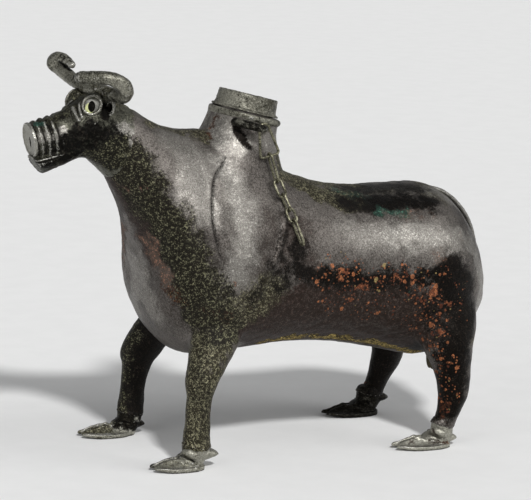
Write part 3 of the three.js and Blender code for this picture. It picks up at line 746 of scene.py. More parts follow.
def stained(piece: bpy.types.Object, patches: tuple[Patch, ...], kinds: tuple[Stain, ...],
            creases: "np.ndarray | None" = None, wear: "np.ndarray | None" = None) -> None:
    """Works out where each stain, painted sheen and painted shade among them, lies on a piece.

    Args:
        piece: the piece.
        patches: the stained stretches, painted sheen and shade among them; one without a side shows on both, alike but
            not the same.
        kinds: the stains that the piece's finish reads.
        creases: how deep in a crease each point is, from 0 to 1.
        wear: how worn each point is, from 0 to 1.
    """
    clay = Clay(piece)
    wander = np.stack([3.0 * ripple(clay.own, 34, p) + 1.3 * ripple(clay.own, 11, p + 5)
                       + 0.7 * ripple(clay.own, 4.6, p + 8) for p in (0.3, 2.1, 4.4)], axis=1)
    amounts = {kind: np.zeros(len(clay.own)) for kind in kinds}
    for patch in (p for p in patches if p.stain in amounts):
        where = clay.folded + wander * patch.stray
        path = [(x, -abs(y), z) for x, y, z in patch.path]
        amount = patch.strength * fade(to_path(where, path), patch.core, patch.reach)
        if patch.side:
            amount = amount * np.clip(0.5 + patch.side.value * clay.own[:, 1] / 6, 0, 1)
        amounts[patch.stain] = np.maximum(amounts[patch.stain], amount)
    for kind, extra in ((Stain.CREASE, creases), (Stain.WORN, wear)):
        if extra is not None and kind in amounts:
            amounts[kind] = np.maximum(amounts[kind], extra)
    for kind, amount in amounts.items():
        clay.keep(kind.value, amount)


def dressed(piece: bpy.types.Object, finish: Finish, *nodes: str, body: str = "vessel") -> bpy.types.Object:
    """Gives a piece its finish and its body, and hides the frame's nodes that it stands for.

    Args:
        piece: the finished piece.
        finish: its finish.
        nodes: the nodes that it replaces.
        body: the body that it rides on.

    Returns:
        The piece.
    """
    if finish.name not in bpy.data.materials:
        patinated(finish)
    piece.data.materials.clear()
    piece.data.materials.append(bpy.data.materials[finish.name])
    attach(piece, body)
    if nodes:
        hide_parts(*nodes)
    log.info("%s: %d faces", piece.name, len(piece.data.polygons))
    return piece


# Sub-assemblies


@dataclass(frozen=True)
class Stance:
    """Where one leg stands, how thick its ankle is, and where its spur ends."""

    end: str
    side: Side
    foot: float
    ankle: float
    girth: float
    lean: float
    spur_tip: tuple[float, float]
    length: float

    def node(self, part: str) -> str:
        """The frame's name for this leg's part."""
        return f"{self.end}_{part}_{self.side.name.lower()}"


STANCES = (
    Stance("front", Side.LEFT, -85.0, -72.3, 9.0, 0.0, (-57.6, 6.4), 33.5),
    Stance("front", Side.RIGHT, -89.7, -71.8, 8.5, 0.06, (-61.8, 4.2), 33.5),
    Stance("hind", Side.LEFT, 87.0, 102.6, 7.7, 0.0, (112.8, 2.9), 38.5),
    Stance("hind", Side.RIGHT, 88.8, 103.2, 9.0, 0.18, (117.0, 8.4), 38.5),
)


@dataclass
class Leg:
    """The line and the girth of one leg, from the ankle up into the trunk."""

    stance: Stance
    half_stance: float = 48.0
    ankle_height: float = 11.0
    lean_height: float = 40.0
    flatness: float = 0.88

    def stations(self) -> list[tuple[float, ...]]:
        """Level sections of the leg: each its middle and its radius."""
        girth = self.stance.girth
        knee = 3.0 if self.stance.end == "front" and self.stance.side is Side.RIGHT else 0.0
        fore = ((11, 0, 0, girth), (18.2, 0, 0, 8.5), (30.2, 0.4, 0, 8), (42.1, 1.4, 0.6, 8.2), (52, 3.4, 1.5, 10.7),
                (62.9, 8.6, 4.6, 13.2), (75.9, 16, 11, 16.5), (92, 20, 19, 15.5))
        hind = ((11, 0, 0, girth), (18.9, 3.4, 0, 7.7), (31, 6.9, 0.4, 10), (45.9, 6.5, 2.1, 12.2),
                (60.1, 5, 6.1, 16.6), (74.4, 5.9, 12.6, 21), (96.1, 6.9, 21, 22))
        return [(self.stance.ankle + back + self.stance.lean * min(z - self.ankle_height, self.lean_height),
                 self.stance.side.value * (self.half_stance - inward), z,
                 radius + knee * math.exp(-((z - 55) / 15) ** 2))
                for z, back, inward, radius in (fore if self.stance.end == "front" else hind)]

    def ring(self, u: float, swell: float = 0.0, sides: int = 36) -> Ring:
        """The leg's outline a share u of the way up, grown by swell."""
        x, y, z, radius = spline(self.stations(), u)
        return oval(Vector((x, y, z)), ALONG, ACROSS, radius + swell, radius * self.flatness + swell, sides)

    def build(self) -> bpy.types.Object:
        """One closed bar that dips into the foot below it."""
        rings = [self.ring(i / 36) for i in range(37)]
        return loft(self.stance.node("leg"), [[p - UPWARD * 1.2 for p in rings[0]], *rings])


FRONT_LINE = [(-46.5, 186), (-50, 181.3), (-55, 177.1), (-57.5, 173.8), (-60, 167.7), (-62.2, 160.2), (-63.4, 150),
              (-62.8, 142), (-60.7, 130.7), (-57.5, 121), (-53.5, 112)]
"""The crease in front of the shoulder, seen from the side."""

REAR_LINE = [(-12.7, 149), (-14.3, 141.2), (-19.2, 131.6), (-24.6, 122.4), (-30.2, 111.7), (-36.1, 100.6), (-39, 94)]
"""The fine ridge behind the shoulder."""

SKIN_PATCHES = (
    # The bare patches mark bare metal and paint the sheen where light would shine: on the neck, the shoulder's boss,
    # the upper flank, the rump's edge and top, and the chest.
    Patch(Stain.BARE, ((-76, -16, 196), (-66, -26, 184), (-72, -30, 172), (-67, -38, 156)), 7, 20, 0.6),
    Patch(Stain.BARE, ((-50, -24, 184), (-44, -36, 168), (-42, -43, 152), (-44, -49, 134), (-50, -50, 116)), 0, 17, 0.9),
    Patch(Stain.BARE, ((-41, -21, 194), (-38, -24, 190)), 3, 9, 0.8),
    Patch(Stain.BARE, ((34, -42, 136), (62, -44, 134), (96, -45, 132), (112, -43, 130)), 0, 20, 0.62),
    Patch(Stain.BARE, ((62, -44, 135), (80, -44, 134), (98, -45, 133)), 0, 16, 1.0),
    Patch(Stain.BARE, ((-28, -19, 200), (-22, -21, 194), (-14, -22, 192), (-6, -18, 194)), 2, 12, 0.7),
    Patch(Stain.BARE, ((-44, -6, 206), (-46, -12, 200), (-42, -18, 194)), 3, 9, 0.9),
    Patch(Stain.BARE, ((118, -40, 134), (128, -36, 118), (134, -34, 100), (134, -34, 84)), 4, 10, 0.7),
    Patch(Stain.BARE, ((112, -18, 155), (126, -12, 148), (138, -10, 134), (144, -12, 118)), 4, 9, 0.7),
    Patch(Stain.BARE, ((-93, 4, 118), (-92, -4, 104), (-88, -14, 92)), 6, 13, 0.5),
    Patch(Stain.UMBER, ((-30, -44, 84), (0, -46, 94), (30, -46, 92), (64, -46, 92), (86, -46, 80)), 14, 24, 0.85),
    Patch(Stain.UMBER, ((-112, -12, 182), (-104, -10, 166), (-97, -12, 148), (-92, -22, 130)), 6, 15, 0.85),
    Patch(Stain.UMBER, ((-22, -46, 150), (-26, -46, 132), (-34, -48, 116)), 4, 14, 0.4),
    Patch(Stain.UMBER, ((-6, -44, 140), (-10, -48, 126), (0, -50, 118)), 6, 18, 0.6),
    Patch(Stain.UMBER, ((-20, -30, 70), (20, -30, 68), (60, -28, 64), (92, -24, 58)), 10, 20, 1.0),
    Patch(Stain.SOOT, ((92, -18, 60), (100, -26, 62), (106, -20, 58)), 6, 13, 0.9),
    Patch(Stain.OLIVE, ((-92, -7, 208), (-80, -6, 204), (-64, -6, 200), (-56, -10, 198)), 3, 9, 0.7),
    Patch(Stain.OLIVE, ((-2, -8, 184), (4, -14, 174), (16, -22, 166), (32, -26, 160), (44, -24, 158)), 8, 17, 0.95),
    Patch(Stain.OLIVE, ((14, -4, 170), (30, -4, 166), (56, -4, 162)), 6, 12, 0.8),
    Patch(Stain.OLIVE, ((104, -6, 160), (118, -6, 156)), 3, 9, 0.6),
    Patch(Stain.OLIVE, ((-66, -46, 96), (-52, -49, 92), (-40, -50, 98), (-28, -50, 108)), 7, 18, 0.7),
    Patch(Stain.OLIVE, ((-73, -50, 14), (-72, -50, 40), (-68, -47, 66), (-60, -46, 82)), 9, 18, 0.85, Side.LEFT),
    Patch(Stain.OLIVE, ((136, -28, 76), (128, -38, 68), (120, -44, 62)), 4, 9, 0.7),
    Patch(Stain.OLIVE, ((-26, -18, 206), (-16, -20, 204), (-36, -16, 202)), 3, 10, 0.5),
    Patch(Stain.OLIVE, ((-84, 48, 16), (-82, 46, 40), (-78, 44, 62)), 2, 7, 0.5, Side.RIGHT),
    Patch(Stain.VERDIGRIS, ((-113, -17, 186), (-104, -20, 172), (-96, -26, 158), (-88, -36, 144), (-81, -42, 128),
                            (-77, -45, 112), (-70, -46, 98), (-60, -47, 86)), 8, 22, 1.0),
    Patch(Stain.VERDIGRIS, ((-78, -46, 116), (-66, -50, 118), (-58, -50, 104)), 5, 13, 0.75),
    Patch(Stain.VERDIGRIS, ((-72, -50, 66), (-70, -52, 40), (-70, -52, 20)), 3, 12, 0.6, Side.LEFT),
    Patch(Stain.VERDIGRIS, ((-72, 48, 14), (-70, 48, 44), (-64, 44, 72)), 12, 22, 0.9, Side.RIGHT),
    Patch(Stain.VERDIGRIS, ((106, 48, 14), (112, 47, 44), (112, 40, 70)), 12, 22, 0.6, Side.RIGHT),
    Patch(Stain.SOOT, ((38, -27, 156), (58, -27, 153), (80, -26, 153), (97, -27, 151)), 2, 15, 1.0),
    Patch(Stain.SOOT, ((50, -10, 160), (78, -10, 161), (94, -12, 159)), 4, 14, 0.75),
    Patch(Stain.OLIVE, ((46, -18, 160), (70, -14, 162), (96, -14, 160), (108, -24, 152)), 3, 12, 0.42),
    Patch(Stain.OLIVE, ((58, -30, 150), (80, -30, 150)), 1, 8, 0.35),
    # Painted sheen over bare metal on the top of the rump and the front of the hump.
    Patch(Stain.BARE, ((104, -14, 158), (118, -14, 152), (128, -14, 143)), 2, 11, 1.0),
    Patch(Stain.BARE, ((-42, -10, 204), (-40, -18, 196), (-32, -22, 192)), 1, 11, 1.0),
    # Painted shade at the fine ridge behind the shoulder.
    Patch(Stain.SOOT, ((-14, -46, 140), (-20, -47, 128), (-28, -49, 114)), 0, 8, 0.8),
    Patch(Stain.SOOT, ((100, -49, 104), (112, -47, 92), (110, -52, 72)), 8, 16, 1.0),
    # Painted shade just behind that ridge.
    Patch(Stain.SOOT, ((-4, -46, 132), (-12, -48, 122), (-22, -49, 110)), 1, 11, 0.9),
    # Painted shade along the lower flank under the sheen, over a dark patina that carries the orange spots.
    Patch(Stain.SOOT, ((-10, -50, 118), (8, -50, 115), (26, -50, 111), (48, -50, 108), (75, -50, 108), (96, -50, 112),
                       (104, -48, 114)), 0, 13, 1.0),
    Patch(Stain.SOOT, ((104, -49, 112), (112, -47, 100), (112, -46, 88), (108, -52, 72), (104, -54, 56),
                       (104, -56, 40), (104, -56, 26)), 6, 17, 1.0),
    Patch(Stain.SOOT, ((88, -48, 92), (98, -48, 76)), 3, 14, 0.7),
    # Painted shade at the lower end of the ridge behind the shoulder.
    Patch(Stain.SOOT, ((-22, -48, 126), (-30, -50, 112), (-37, -50, 101)), 2, 8, 0.6),
    Patch(Stain.SOOT, ((-72, -44, 12), (-66, -44, 60), (-62, -40, 78)), 2, 9, 0.5, Side.LEFT),
    Patch(Stain.SOOT, ((-68, -38, 14), (-66, -36, 44), (-60, -34, 66)), 9, 16, 1.0),
    Patch(Stain.SOOT, ((108, -38, 14), (112, -36, 40), (108, -32, 60)), 9, 16, 1.0),
    Patch(Stain.SOOT, ((104, 50, 14), (110, 50, 40), (106, 46, 60)), 10, 18, 0.7, Side.RIGHT),
    Patch(Stain.SOOT, ((-112, -8, 176), (-106, -12, 164)), 2, 8, 0.4),
    Patch(Stain.TEAL, ((34, -14, 163), (44, -18, 160), (54, -20, 158)), 1, 9, 0.5),
    Patch(Stain.TEAL, ((58, -32, 149), (68, -34, 148), (80, -34, 147)), 1, 6, 0.75),
    Patch(Stain.SALMON, ((80, -35, 146), (88, -35, 146)), 1, 4, 0.6),
    Patch(Stain.TEAL, ((74, -50, 104), (80, -50, 103)), 1, 3.5, 0.5),
    Patch(Stain.RUST, ((-47, -5, 206), (-51, -8, 203), (-53, -11, 201)), 1.0, 6, 0.7),
    Patch(Stain.OCHRE, ((-52, -6, 204), (-56, -8, 201)), 0.5, 5, 0.5),
    # Painted shadow of the chain's lug: a dark crescent on the neck below the lug's root.
    Patch(Stain.SOOT, ((-36.6, -16, 205), (-36.2, -20, 200.2), (-34.7, -25, 194.6), (-30, -28, 191.7)), 2.2, 3.8, 1.0,
          Side.LEFT, stray=0.2),
    Patch(Stain.RUST, ((-62, -50, 36), (-64, -50, 20)), 1.5, 6, 0.6, Side.LEFT),
    Patch(Stain.RUST, ((100, -53, 30), (100, -53, 18)), 1.0, 4.5, 0.55, Side.LEFT),
    Patch(Stain.RUST, ((-90, -30, 112), (-84, -38, 104)), 3, 9, 0.4),
    Patch(Stain.RUST, ((-66, -48, 96), (-56, -50, 90)), 3, 9, 0.25),
    Patch(Stain.UMBER, ((-122, -6, 184), (-116, -6, 176), (-110, -5, 164), (-104, -5, 152)), 4, 11, 0.9),
    Patch(Stain.VERDIGRIS, ((-120, -10, 182), (-113, -10, 170)), 3, 9, 0.5),
    Patch(Stain.UMBER, ((-96, -14, 118), (-88, -24, 104), (-80, -30, 92)), 5, 16, 0.35),
    Patch(Stain.SALMON, ((-111, -10, 170), (-109, -14, 168)), 1, 5, 0.5),
    Patch(Stain.SALMON, ((-98, -10, 139), (-95, -18, 137), (-93, -22, 135)), 1, 5, 0.85),
    Patch(Stain.SALMON, ((-93, -20, 130), (-90, -27, 121), (-87, -32, 113)), 1.5, 7, 0.7),
    Patch(Stain.SALMON, ((-105, -14, 169), (-102, -18, 167)), 1, 4, 0.7),
    Patch(Stain.SALMON, ((-51, -51, 112), (-50.5, -51, 109)), 0.8, 3, 0.85, stray=0.4),
    Patch(Stain.SALMON, ((7, -49, 121), (7, -49, 119)), 0.6, 2.4, 0.8, stray=0.4),
    Patch(Stain.SALMON, ((62, -33, 146), (76, -35, 145), (92, -33, 146)), 1, 5, 0.3),
    Patch(Stain.SALMON, ((92, -49, 121), (98, -48, 118)), 1, 7, 0.5),
    Patch(Stain.SALMON, ((117, -42, 136), (119, -43, 128)), 1, 5, 0.3),
    Patch(Stain.OCHRE, ((-16, -27, 67), (10, -24, 67), (38, -25, 66), (64, -22, 62), (80, -18, 57), (94, -16, 52)),
          3.0, 8, 0.95),
    Patch(Stain.SPOTS, ((14, -50, 116), (30, -50, 113), (48, -50, 108), (66, -50, 109), (82, -50, 106), (90, -50, 98),
                        (94, -49, 84)), 5, 15, 0.8),
    Patch(Stain.SPOTS, ((-14, -50, 112), (4, -50, 108)), 3, 10, 0.25),
    Patch(Stain.SPOTS, ((96, -50, 112), (106, -48, 106), (110, -47, 96), (110, -48, 84)), 4, 11, 0.5),
    Patch(Stain.SPOTS, ((94, -48, 72), (98, -52, 60), (102, -54, 54), (100, -54, 40), (100, -54, 26)), 5, 12, 0.7),
    Patch(Stain.SPOTS, ((20, -48, 100), (60, -46, 94), (88, -47, 86), (94, -46, 72)), 8, 20, 0.55),
    Patch(Stain.SPOTS, ((-52, -49, 104), (-50, -47, 90)), 2, 8, 0.3),
    Patch(Stain.CAKE, ((62, -50, 110), (66, -50, 109)), 1, 4, 0.7),
    Patch(Stain.CAKE, ((73, -50, 109), (76, -50, 108)), 1, 4.2, 0.8),
    Patch(Stain.CAKE, ((88, -50, 100), (90, -50, 97)), 1.4, 4.6, 0.85),
    Patch(Stain.CAKE, ((97, -49, 74), (100, -49, 73)), 0.8, 3.4, 0.7),
    Patch(Stain.CAKE, ((22, -50, 112), (26, -50, 114)), 0.8, 3.4, 0.8),
    Patch(Stain.CAKE, ((40, -50, 104), (41, -50, 103)), 0.8, 3, 0.8),
    Patch(Stain.CAKE, ((101, -48, 89), (102, -48, 88)), 1.0, 3.2, 0.85),
    Patch(Stain.CAKE, ((79, -50, 103), (81, -50, 102)), 0.8, 3, 0.8),
)


def line_at(line: list[tuple[float, float]], heights: np.ndarray) -> np.ndarray:
    """How far along a falling line in the side view lies at each height."""
    return np.interp(heights, [z for _, z in line[::-1]], [x for x, _ in line[::-1]])


@dataclass
class Trunk:
    """The trunk, hump and legs, run together into one cast skin."""

    back: float = 161.5
    loin: float = 49.3
    rump_depth: float = 47.9
    rump_slope: float = 11.0
    rump_pinch: float = 0.28
    rump_fullness: float = 0.26
    spout_base: tuple[float, float] = (-21.9, 210.3)
    spout_lean: float = math.radians(13.5)
    spout_radius: float = 22.0
    bore: float = 16.2
    hump_depth: float = 60.0
    hump_half_length: float = 48.0
    hump_half_width: float = 41.0
    voxel: float = 1.3
    finish: Finish = SKIN_FINISH

    def rump_ring(self, numbers: tuple[float, ...], sides: int, angle: float) -> Ring:
        """A ring of the rump, whose upper half falls away and narrows towards the tail.

        Args:
            numbers: the section that the rump starts from.
            sides: the number of points.
            angle: how far round the rump's end the ring is.

        Returns:
            The ring.
        """
        shrink, reach = math.cos(angle), math.sin(angle)
        middle, half = (self.back + self.loin) / 2, (self.back - self.loin) / 2
        ring = []
        for p in section_ring(numbers, sides, shrink):
            height = (p.z - middle) / half
            rise = max(0.0, height)
            full = shrink ** (-self.rump_fullness * min(max(-2 * height / shrink, 0.0), 1.0))
            ring.append(Vector((p.x + self.rump_depth * reach,
                                p.y * full * (1 - self.rump_pinch * reach * rise / shrink),
                                middle + (p.z - middle) * full - self.rump_slope * reach ** 2 * rise)))
        return ring

    def barrel(self) -> bpy.types.Object:
        """The barrel, from the rump to the neck."""
        stations = [
            Section((100, 49.3), (100, 161.5), 51), Section((48, 60.5), (48, 161.5), 49.5, 0.02),
            Section((10, 64), (12, 170), 49.5, 0.08), Section((-30, 62), (-24, 186.5), 51, 0.22),
            Section((-66, 62), (-50, 199.5), 49, 0.3), Section((-87, 84.9), (-64, 200.5), 44.6, 0.26),
            Section((-92, 112.4), (-74, 202), 36.9, 0.16), Section((-100, 143.3), (-85, 205.5), 28.3, 0.06),
            Section((-117, 176.5), (-99.5, 214), 19),
        ]
        numbers = [s.numbers() for s in stations]
        sides, count, ends = 64, 50, 14
        rings = [self.rump_ring(numbers[0], sides, (ends - i) / (ends + 0.5) * math.pi / 2) for i in range(ends)]
        rings += [section_ring(spline(numbers, i / count), sides) for i in range(count + 1)]
        inner = [p + Vector((-4, 0, 2)) for p in rings[-1]]
        middle = sum(inner, Vector()) / len(inner)
        rings.append([middle + (p - middle) * 0.94 for p in inner])
        return loft("barrel", rings)

    @property
    def spout_rear(self) -> Vector:
        """The rearward direction square to the filling neck."""
        return Vector((math.cos(self.spout_lean), 0, -math.sin(self.spout_lean)))

    def spout_point(self, height: float) -> Vector:
        """A point on the filling neck's axis, height above its base."""
        up = Vector((math.sin(self.spout_lean), 0, math.cos(self.spout_lean)))
        return Vector((self.spout_base[0], 0, self.spout_base[1])) + up * height

    def spout_ring(self, height: float, long: float, wide: float, sides: int = 64) -> Ring:
        """A ring round the filling neck's axis."""
        return oval(self.spout_point(height), self.spout_rear, ACROSS, long, wide, sides)

    def hump(self) -> bpy.types.Object:
        """The flare from the filling neck down into the shoulders."""
        rings = []
        for i in range(29):
            u = i / 28
            rings.append(self.spout_ring(-self.hump_depth * u,
                                         between(self.spout_radius, self.hump_half_length, min(1.0, 1.36 * u) ** 2.2),
                                         between(self.spout_radius, self.hump_half_width, u ** 1.6)))
        return loft("hump", rings)

    def carve(self, skin: bpy.types.Object) -> np.ndarray:
        """Presses the shoulder's lines into the skin and swells the muscle between them.

        Args:
            skin: the remeshed skin.

        Returns:
            How deep in a crease each point is, from 0 to 1.
        """
        clay = Clay(skin)
        seen, z = clay.side_view, clay.own[:, 2]
        flank = np.clip((np.abs(clay.own[:, 1]) - 10) / 8, 0, 1)
        front, rear = to_path(seen, FRONT_LINE), to_path(seen, REAR_LINE)
        past_front = seen[:, 0] - line_at(FRONT_LINE, z)
        past_rear = seen[:, 0] - line_at(REAR_LINE, z)
        crisp = fade(np.abs(z - 156), 20, 42)
        swell = past_front * np.clip(past_front / 5, 0, 1) / 9
        clay.rise -= 0.9 * bell(front, 0.75) * flank * crisp
        clay.rise += 1.1 * swell * np.exp(1 - swell) * fade(np.abs(z - 150), 22, 46) * flank * (past_front > 0)
        clay.rise += 0.25 * bell(past_front + 2.4, 1.6) * flank * crisp * (z < 172)
        clay.rise += 0.7 * bell(rear, 1.3) * flank
        clay.rise -= 0.75 * bell(past_rear + 4.0, 2.6) * flank * fade(np.abs(z - 122), 26, 34)
        clay.rise -= 0.5 * bell(past_rear - 3.4, 2.6) * flank * fade(np.abs(z - 122), 26, 34)
        clay.rise += 0.22 * ripple(clay.own, 34, 1.0) + 0.07 * ripple(clay.own, 9, 4.0)
        clay.press()
        groove = np.maximum(0.72 * bell(front, 0.55) * crisp, 0.4 * bell(front, 1.6) * fade(np.abs(z - 150), 18, 34))
        return np.maximum(groove, 0.5 * bell(past_rear + 3.2, 1.5) * fade(np.abs(z - 122), 22, 30)) * flank

    def build(self) -> bpy.types.Object:
        """Builds the skin, opens its filling neck and dresses it."""
        parts = [self.barrel(), self.hump()] + [Leg(stance).build() for stance in STANCES]
        skin = run_together("cast_skin", parts, self.voxel, 4)
        self.blend_joins(skin)
        self.refine(skin)
        creases = self.carve(skin)
        stained(skin, SKIN_PATCHES, ALL_STAINS, creases)
        cut(skin, loft("bore", [self.spout_ring(h, self.bore, self.bore, 56) for h in (4, -10, -24, -38)]))
        only(skin)
        bpy.ops.object.shade_smooth()
        return dressed(skin, self.finish, "body_shell", *(stance.node("leg") for stance in STANCES))

    def refine(self, skin: bpy.types.Object) -> None:
        """Makes the skin's mesh finer along the shoulder's crease, so that it can be cut thin."""
        for reach in (5.0, 2.6):
            clay = Clay(skin)
            near = (to_path(clay.side_view, FRONT_LINE) < reach) & (np.abs(clay.own[:, 1]) > 10)
            mesh = bmesh.new()
            mesh.from_mesh(skin.data)
            edges = [e for e in mesh.edges if near[e.verts[0].index] and near[e.verts[1].index]]
            bmesh.ops.subdivide_edges(mesh, edges=edges, cuts=1, use_grid_fill=True)
            mesh.to_mesh(skin.data)
            mesh.free()
            skin.data.update()

    def blend_joins(self, skin: bpy.types.Object) -> None:
        """Softens the skin where the legs and the hump run into the trunk."""
        clay = Clay(skin)
        x, y, z = clay.own.T
        legs = fade(np.abs(z - 84), 14, 30) * np.clip((np.abs(y) - 16) / 10, 0, 1)
        legs = legs * np.maximum(fade(np.abs(x + 58), 22, 34), fade(np.abs(x - 112), 26, 40))
        legs = np.maximum(legs, fade(np.abs(z - 98), 14, 28) * fade(np.abs(x - 142), 12, 26) * (np.abs(y) > 12))
        hump = fade(np.abs(z - 172), 16, 32) * fade(np.abs(x + 24), 40, 60) * (z < 205)
        group = skin.vertex_groups.new(name="joins")
        weights = np.maximum(legs, hump)
        for level in range(1, 11):
            chosen = np.nonzero((weights > (level - 1) / 10) & (weights <= level / 10))[0]
            group.add(chosen.tolist(), level / 10, "REPLACE")
        modify(skin, "SMOOTH", factor=0.5, iterations=24, vertex_group="joins")
        skin.vertex_groups.clear()


@dataclass(frozen=True)
class Stroke:
    """A ridge or a groove along a line on a skin, seen on both sides."""

    path: tuple[Point, ...]
    width: float
    height: float
    wear: float = 0.0

    def apply(self, clay: Clay, wear: np.ndarray, crease: np.ndarray) -> None:
        """Raises or presses the line, and notes where it is worn or dirty.

        Args:
            clay: the skin's points, which take the rise.
            wear: how worn each point is, which is added to.
            crease: how deep in a crease each point is, which is added to.
        """
        near = bell(to_path(clay.folded, list(self.path)), self.width)
        clay.rise += self.height * near
        wear[:] = np.maximum(wear, self.wear * near)
        if self.height < 0:
            crease[:] = np.maximum(crease, 0.9 * near ** 2)


HEAD_STROKES = (
    Stroke(((-136.4, -5.5, 218.8), (-137.7, -8, 216.7), (-138.2, -10.1, 214.6), (-138, -12.6, 211.6)), 0.95, 1.0, 1.0),
    Stroke(((-140.6, -4.4, 216.6), (-140.9, -7.9, 214.6), (-140.7, -10.6, 212.5), (-139.9, -12.6, 209.8)), 1.0, 0.95,
           1.0),
    Stroke(((-138.5, -5.0, 217.6), (-139.4, -8, 215.6), (-139.5, -10.4, 213.4), (-139.0, -12.6, 210.6)), 0.5, -0.9),
    Stroke(((-142.8, -5.0, 215.0), (-143.0, -8.4, 212.6), (-142.6, -11.0, 210.0)), 0.6, -0.6),
    Stroke(((-136.3, -14.4, 208.6), (-133.1, -16.4, 207.6), (-130, -17, 208.8)), 0.7, 0.45, 0.3),
    Stroke(((-136.3, -14.4, 206.8), (-133.1, -16.4, 205.8), (-130, -17, 207)), 0.7, -0.4),
    Stroke(((-165.4, -0.9, 187.2), (-165.2, -8, 186.6), (-164.3, -10.3, 186.6)), 1.1, 0.9, 1.0),
    Stroke(((-164.5, -0.7, 183.0), (-164.2, -6, 181.8), (-163.6, -9, 182.0)), 0.8, -0.9),
    Stroke(((-157.1, -7, 208.2), (-155, -9.6, 204), (-153.7, -10.8, 200.4), (-153.5, -11.4, 196)), 0.9, -0.9),
)

HEAD_PATCHES = (
    Patch(Stain.SOOT, ((-139, -13, 203), (-131, -16, 205), (-124, -17, 201), (-121, -18, 206)), 2, 10, 0.95),
    Patch(Stain.SOOT, ((-150, -12, 194), (-142, -14, 197), (-134, -15, 197), (-127, -16, 196)), 2, 8, 0.95),
    Patch(Stain.SOOT, ((-160, -10, 184), (-150, -11, 188), (-140, -12, 190)), 2, 7, 0.95),
    Patch(Stain.VERDIGRIS, ((-146, -12, 190), (-134, -14, 190), (-124, -15, 192)), 3, 9, 0.4),
    Patch(Stain.SOOT, ((-132, -13.4, 219), (-131, -14.4, 217.5)), 2.6, 4.2, 1.0, stray=0.15),
    Patch(Stain.SOOT, ((-126, -14, 219), (-122, -15, 217), (-124, -15, 213)), 2, 4.5, 1.0, stray=0.3),
    Patch(Stain.SOOT, ((-147, -9, 209), (-143, -10, 207), (-142, -11, 203)), 2, 5, 0.8),
    Patch(Stain.VERDIGRIS, ((-116, -17, 196), (-118, -16, 186), (-128, -12, 186)), 5, 12, 0.9),
    Patch(Stain.VERDIGRIS, ((-164, -8, 192), (-152, -10, 194), (-140, -12, 198)), 2, 7, 0.6),
    Patch(Stain.VERDIGRIS, ((-158, -6, 208), (-148, -6, 212), (-140, -6, 217), (-130, -8, 223)), 3, 9, 0.7),
    Patch(Stain.UMBER, ((-124, -6, 184), (-136, -5, 185), (-148, -4, 184)), 3, 9, 0.6),
    Patch(Stain.OLIVE, ((-104, -6, 216), (-114, -6, 220), (-124, -8, 225), (-136, -6, 221)), 3, 10, 0.6),
    Patch(Stain.TEAL, ((-164, -5, 207.5), (-160, -6, 207)), 1.0, 3.4, 0.8, stray=0.5),
    Patch(Stain.TEAL, ((-150, -8, 206), (-147, -9, 204)), 0.8, 3.0, 0.5, stray=0.5),
    # The bare patches paint sheen over bare metal on the muzzle's side and on the neck behind the ear.
    Patch(Stain.BARE, ((-163, -11, 200), (-158, -12, 199), (-152, -12.5, 199)), 2, 6, 0.8, stray=0.5),
    Patch(Stain.BARE, ((-150, -12, 204), (-148, -12.5, 200)), 1.5, 5, 0.8, stray=0.5),
    Patch(Stain.BARE, ((-113, -19, 206), (-108, -19, 200)), 3, 9, 0.8),
)


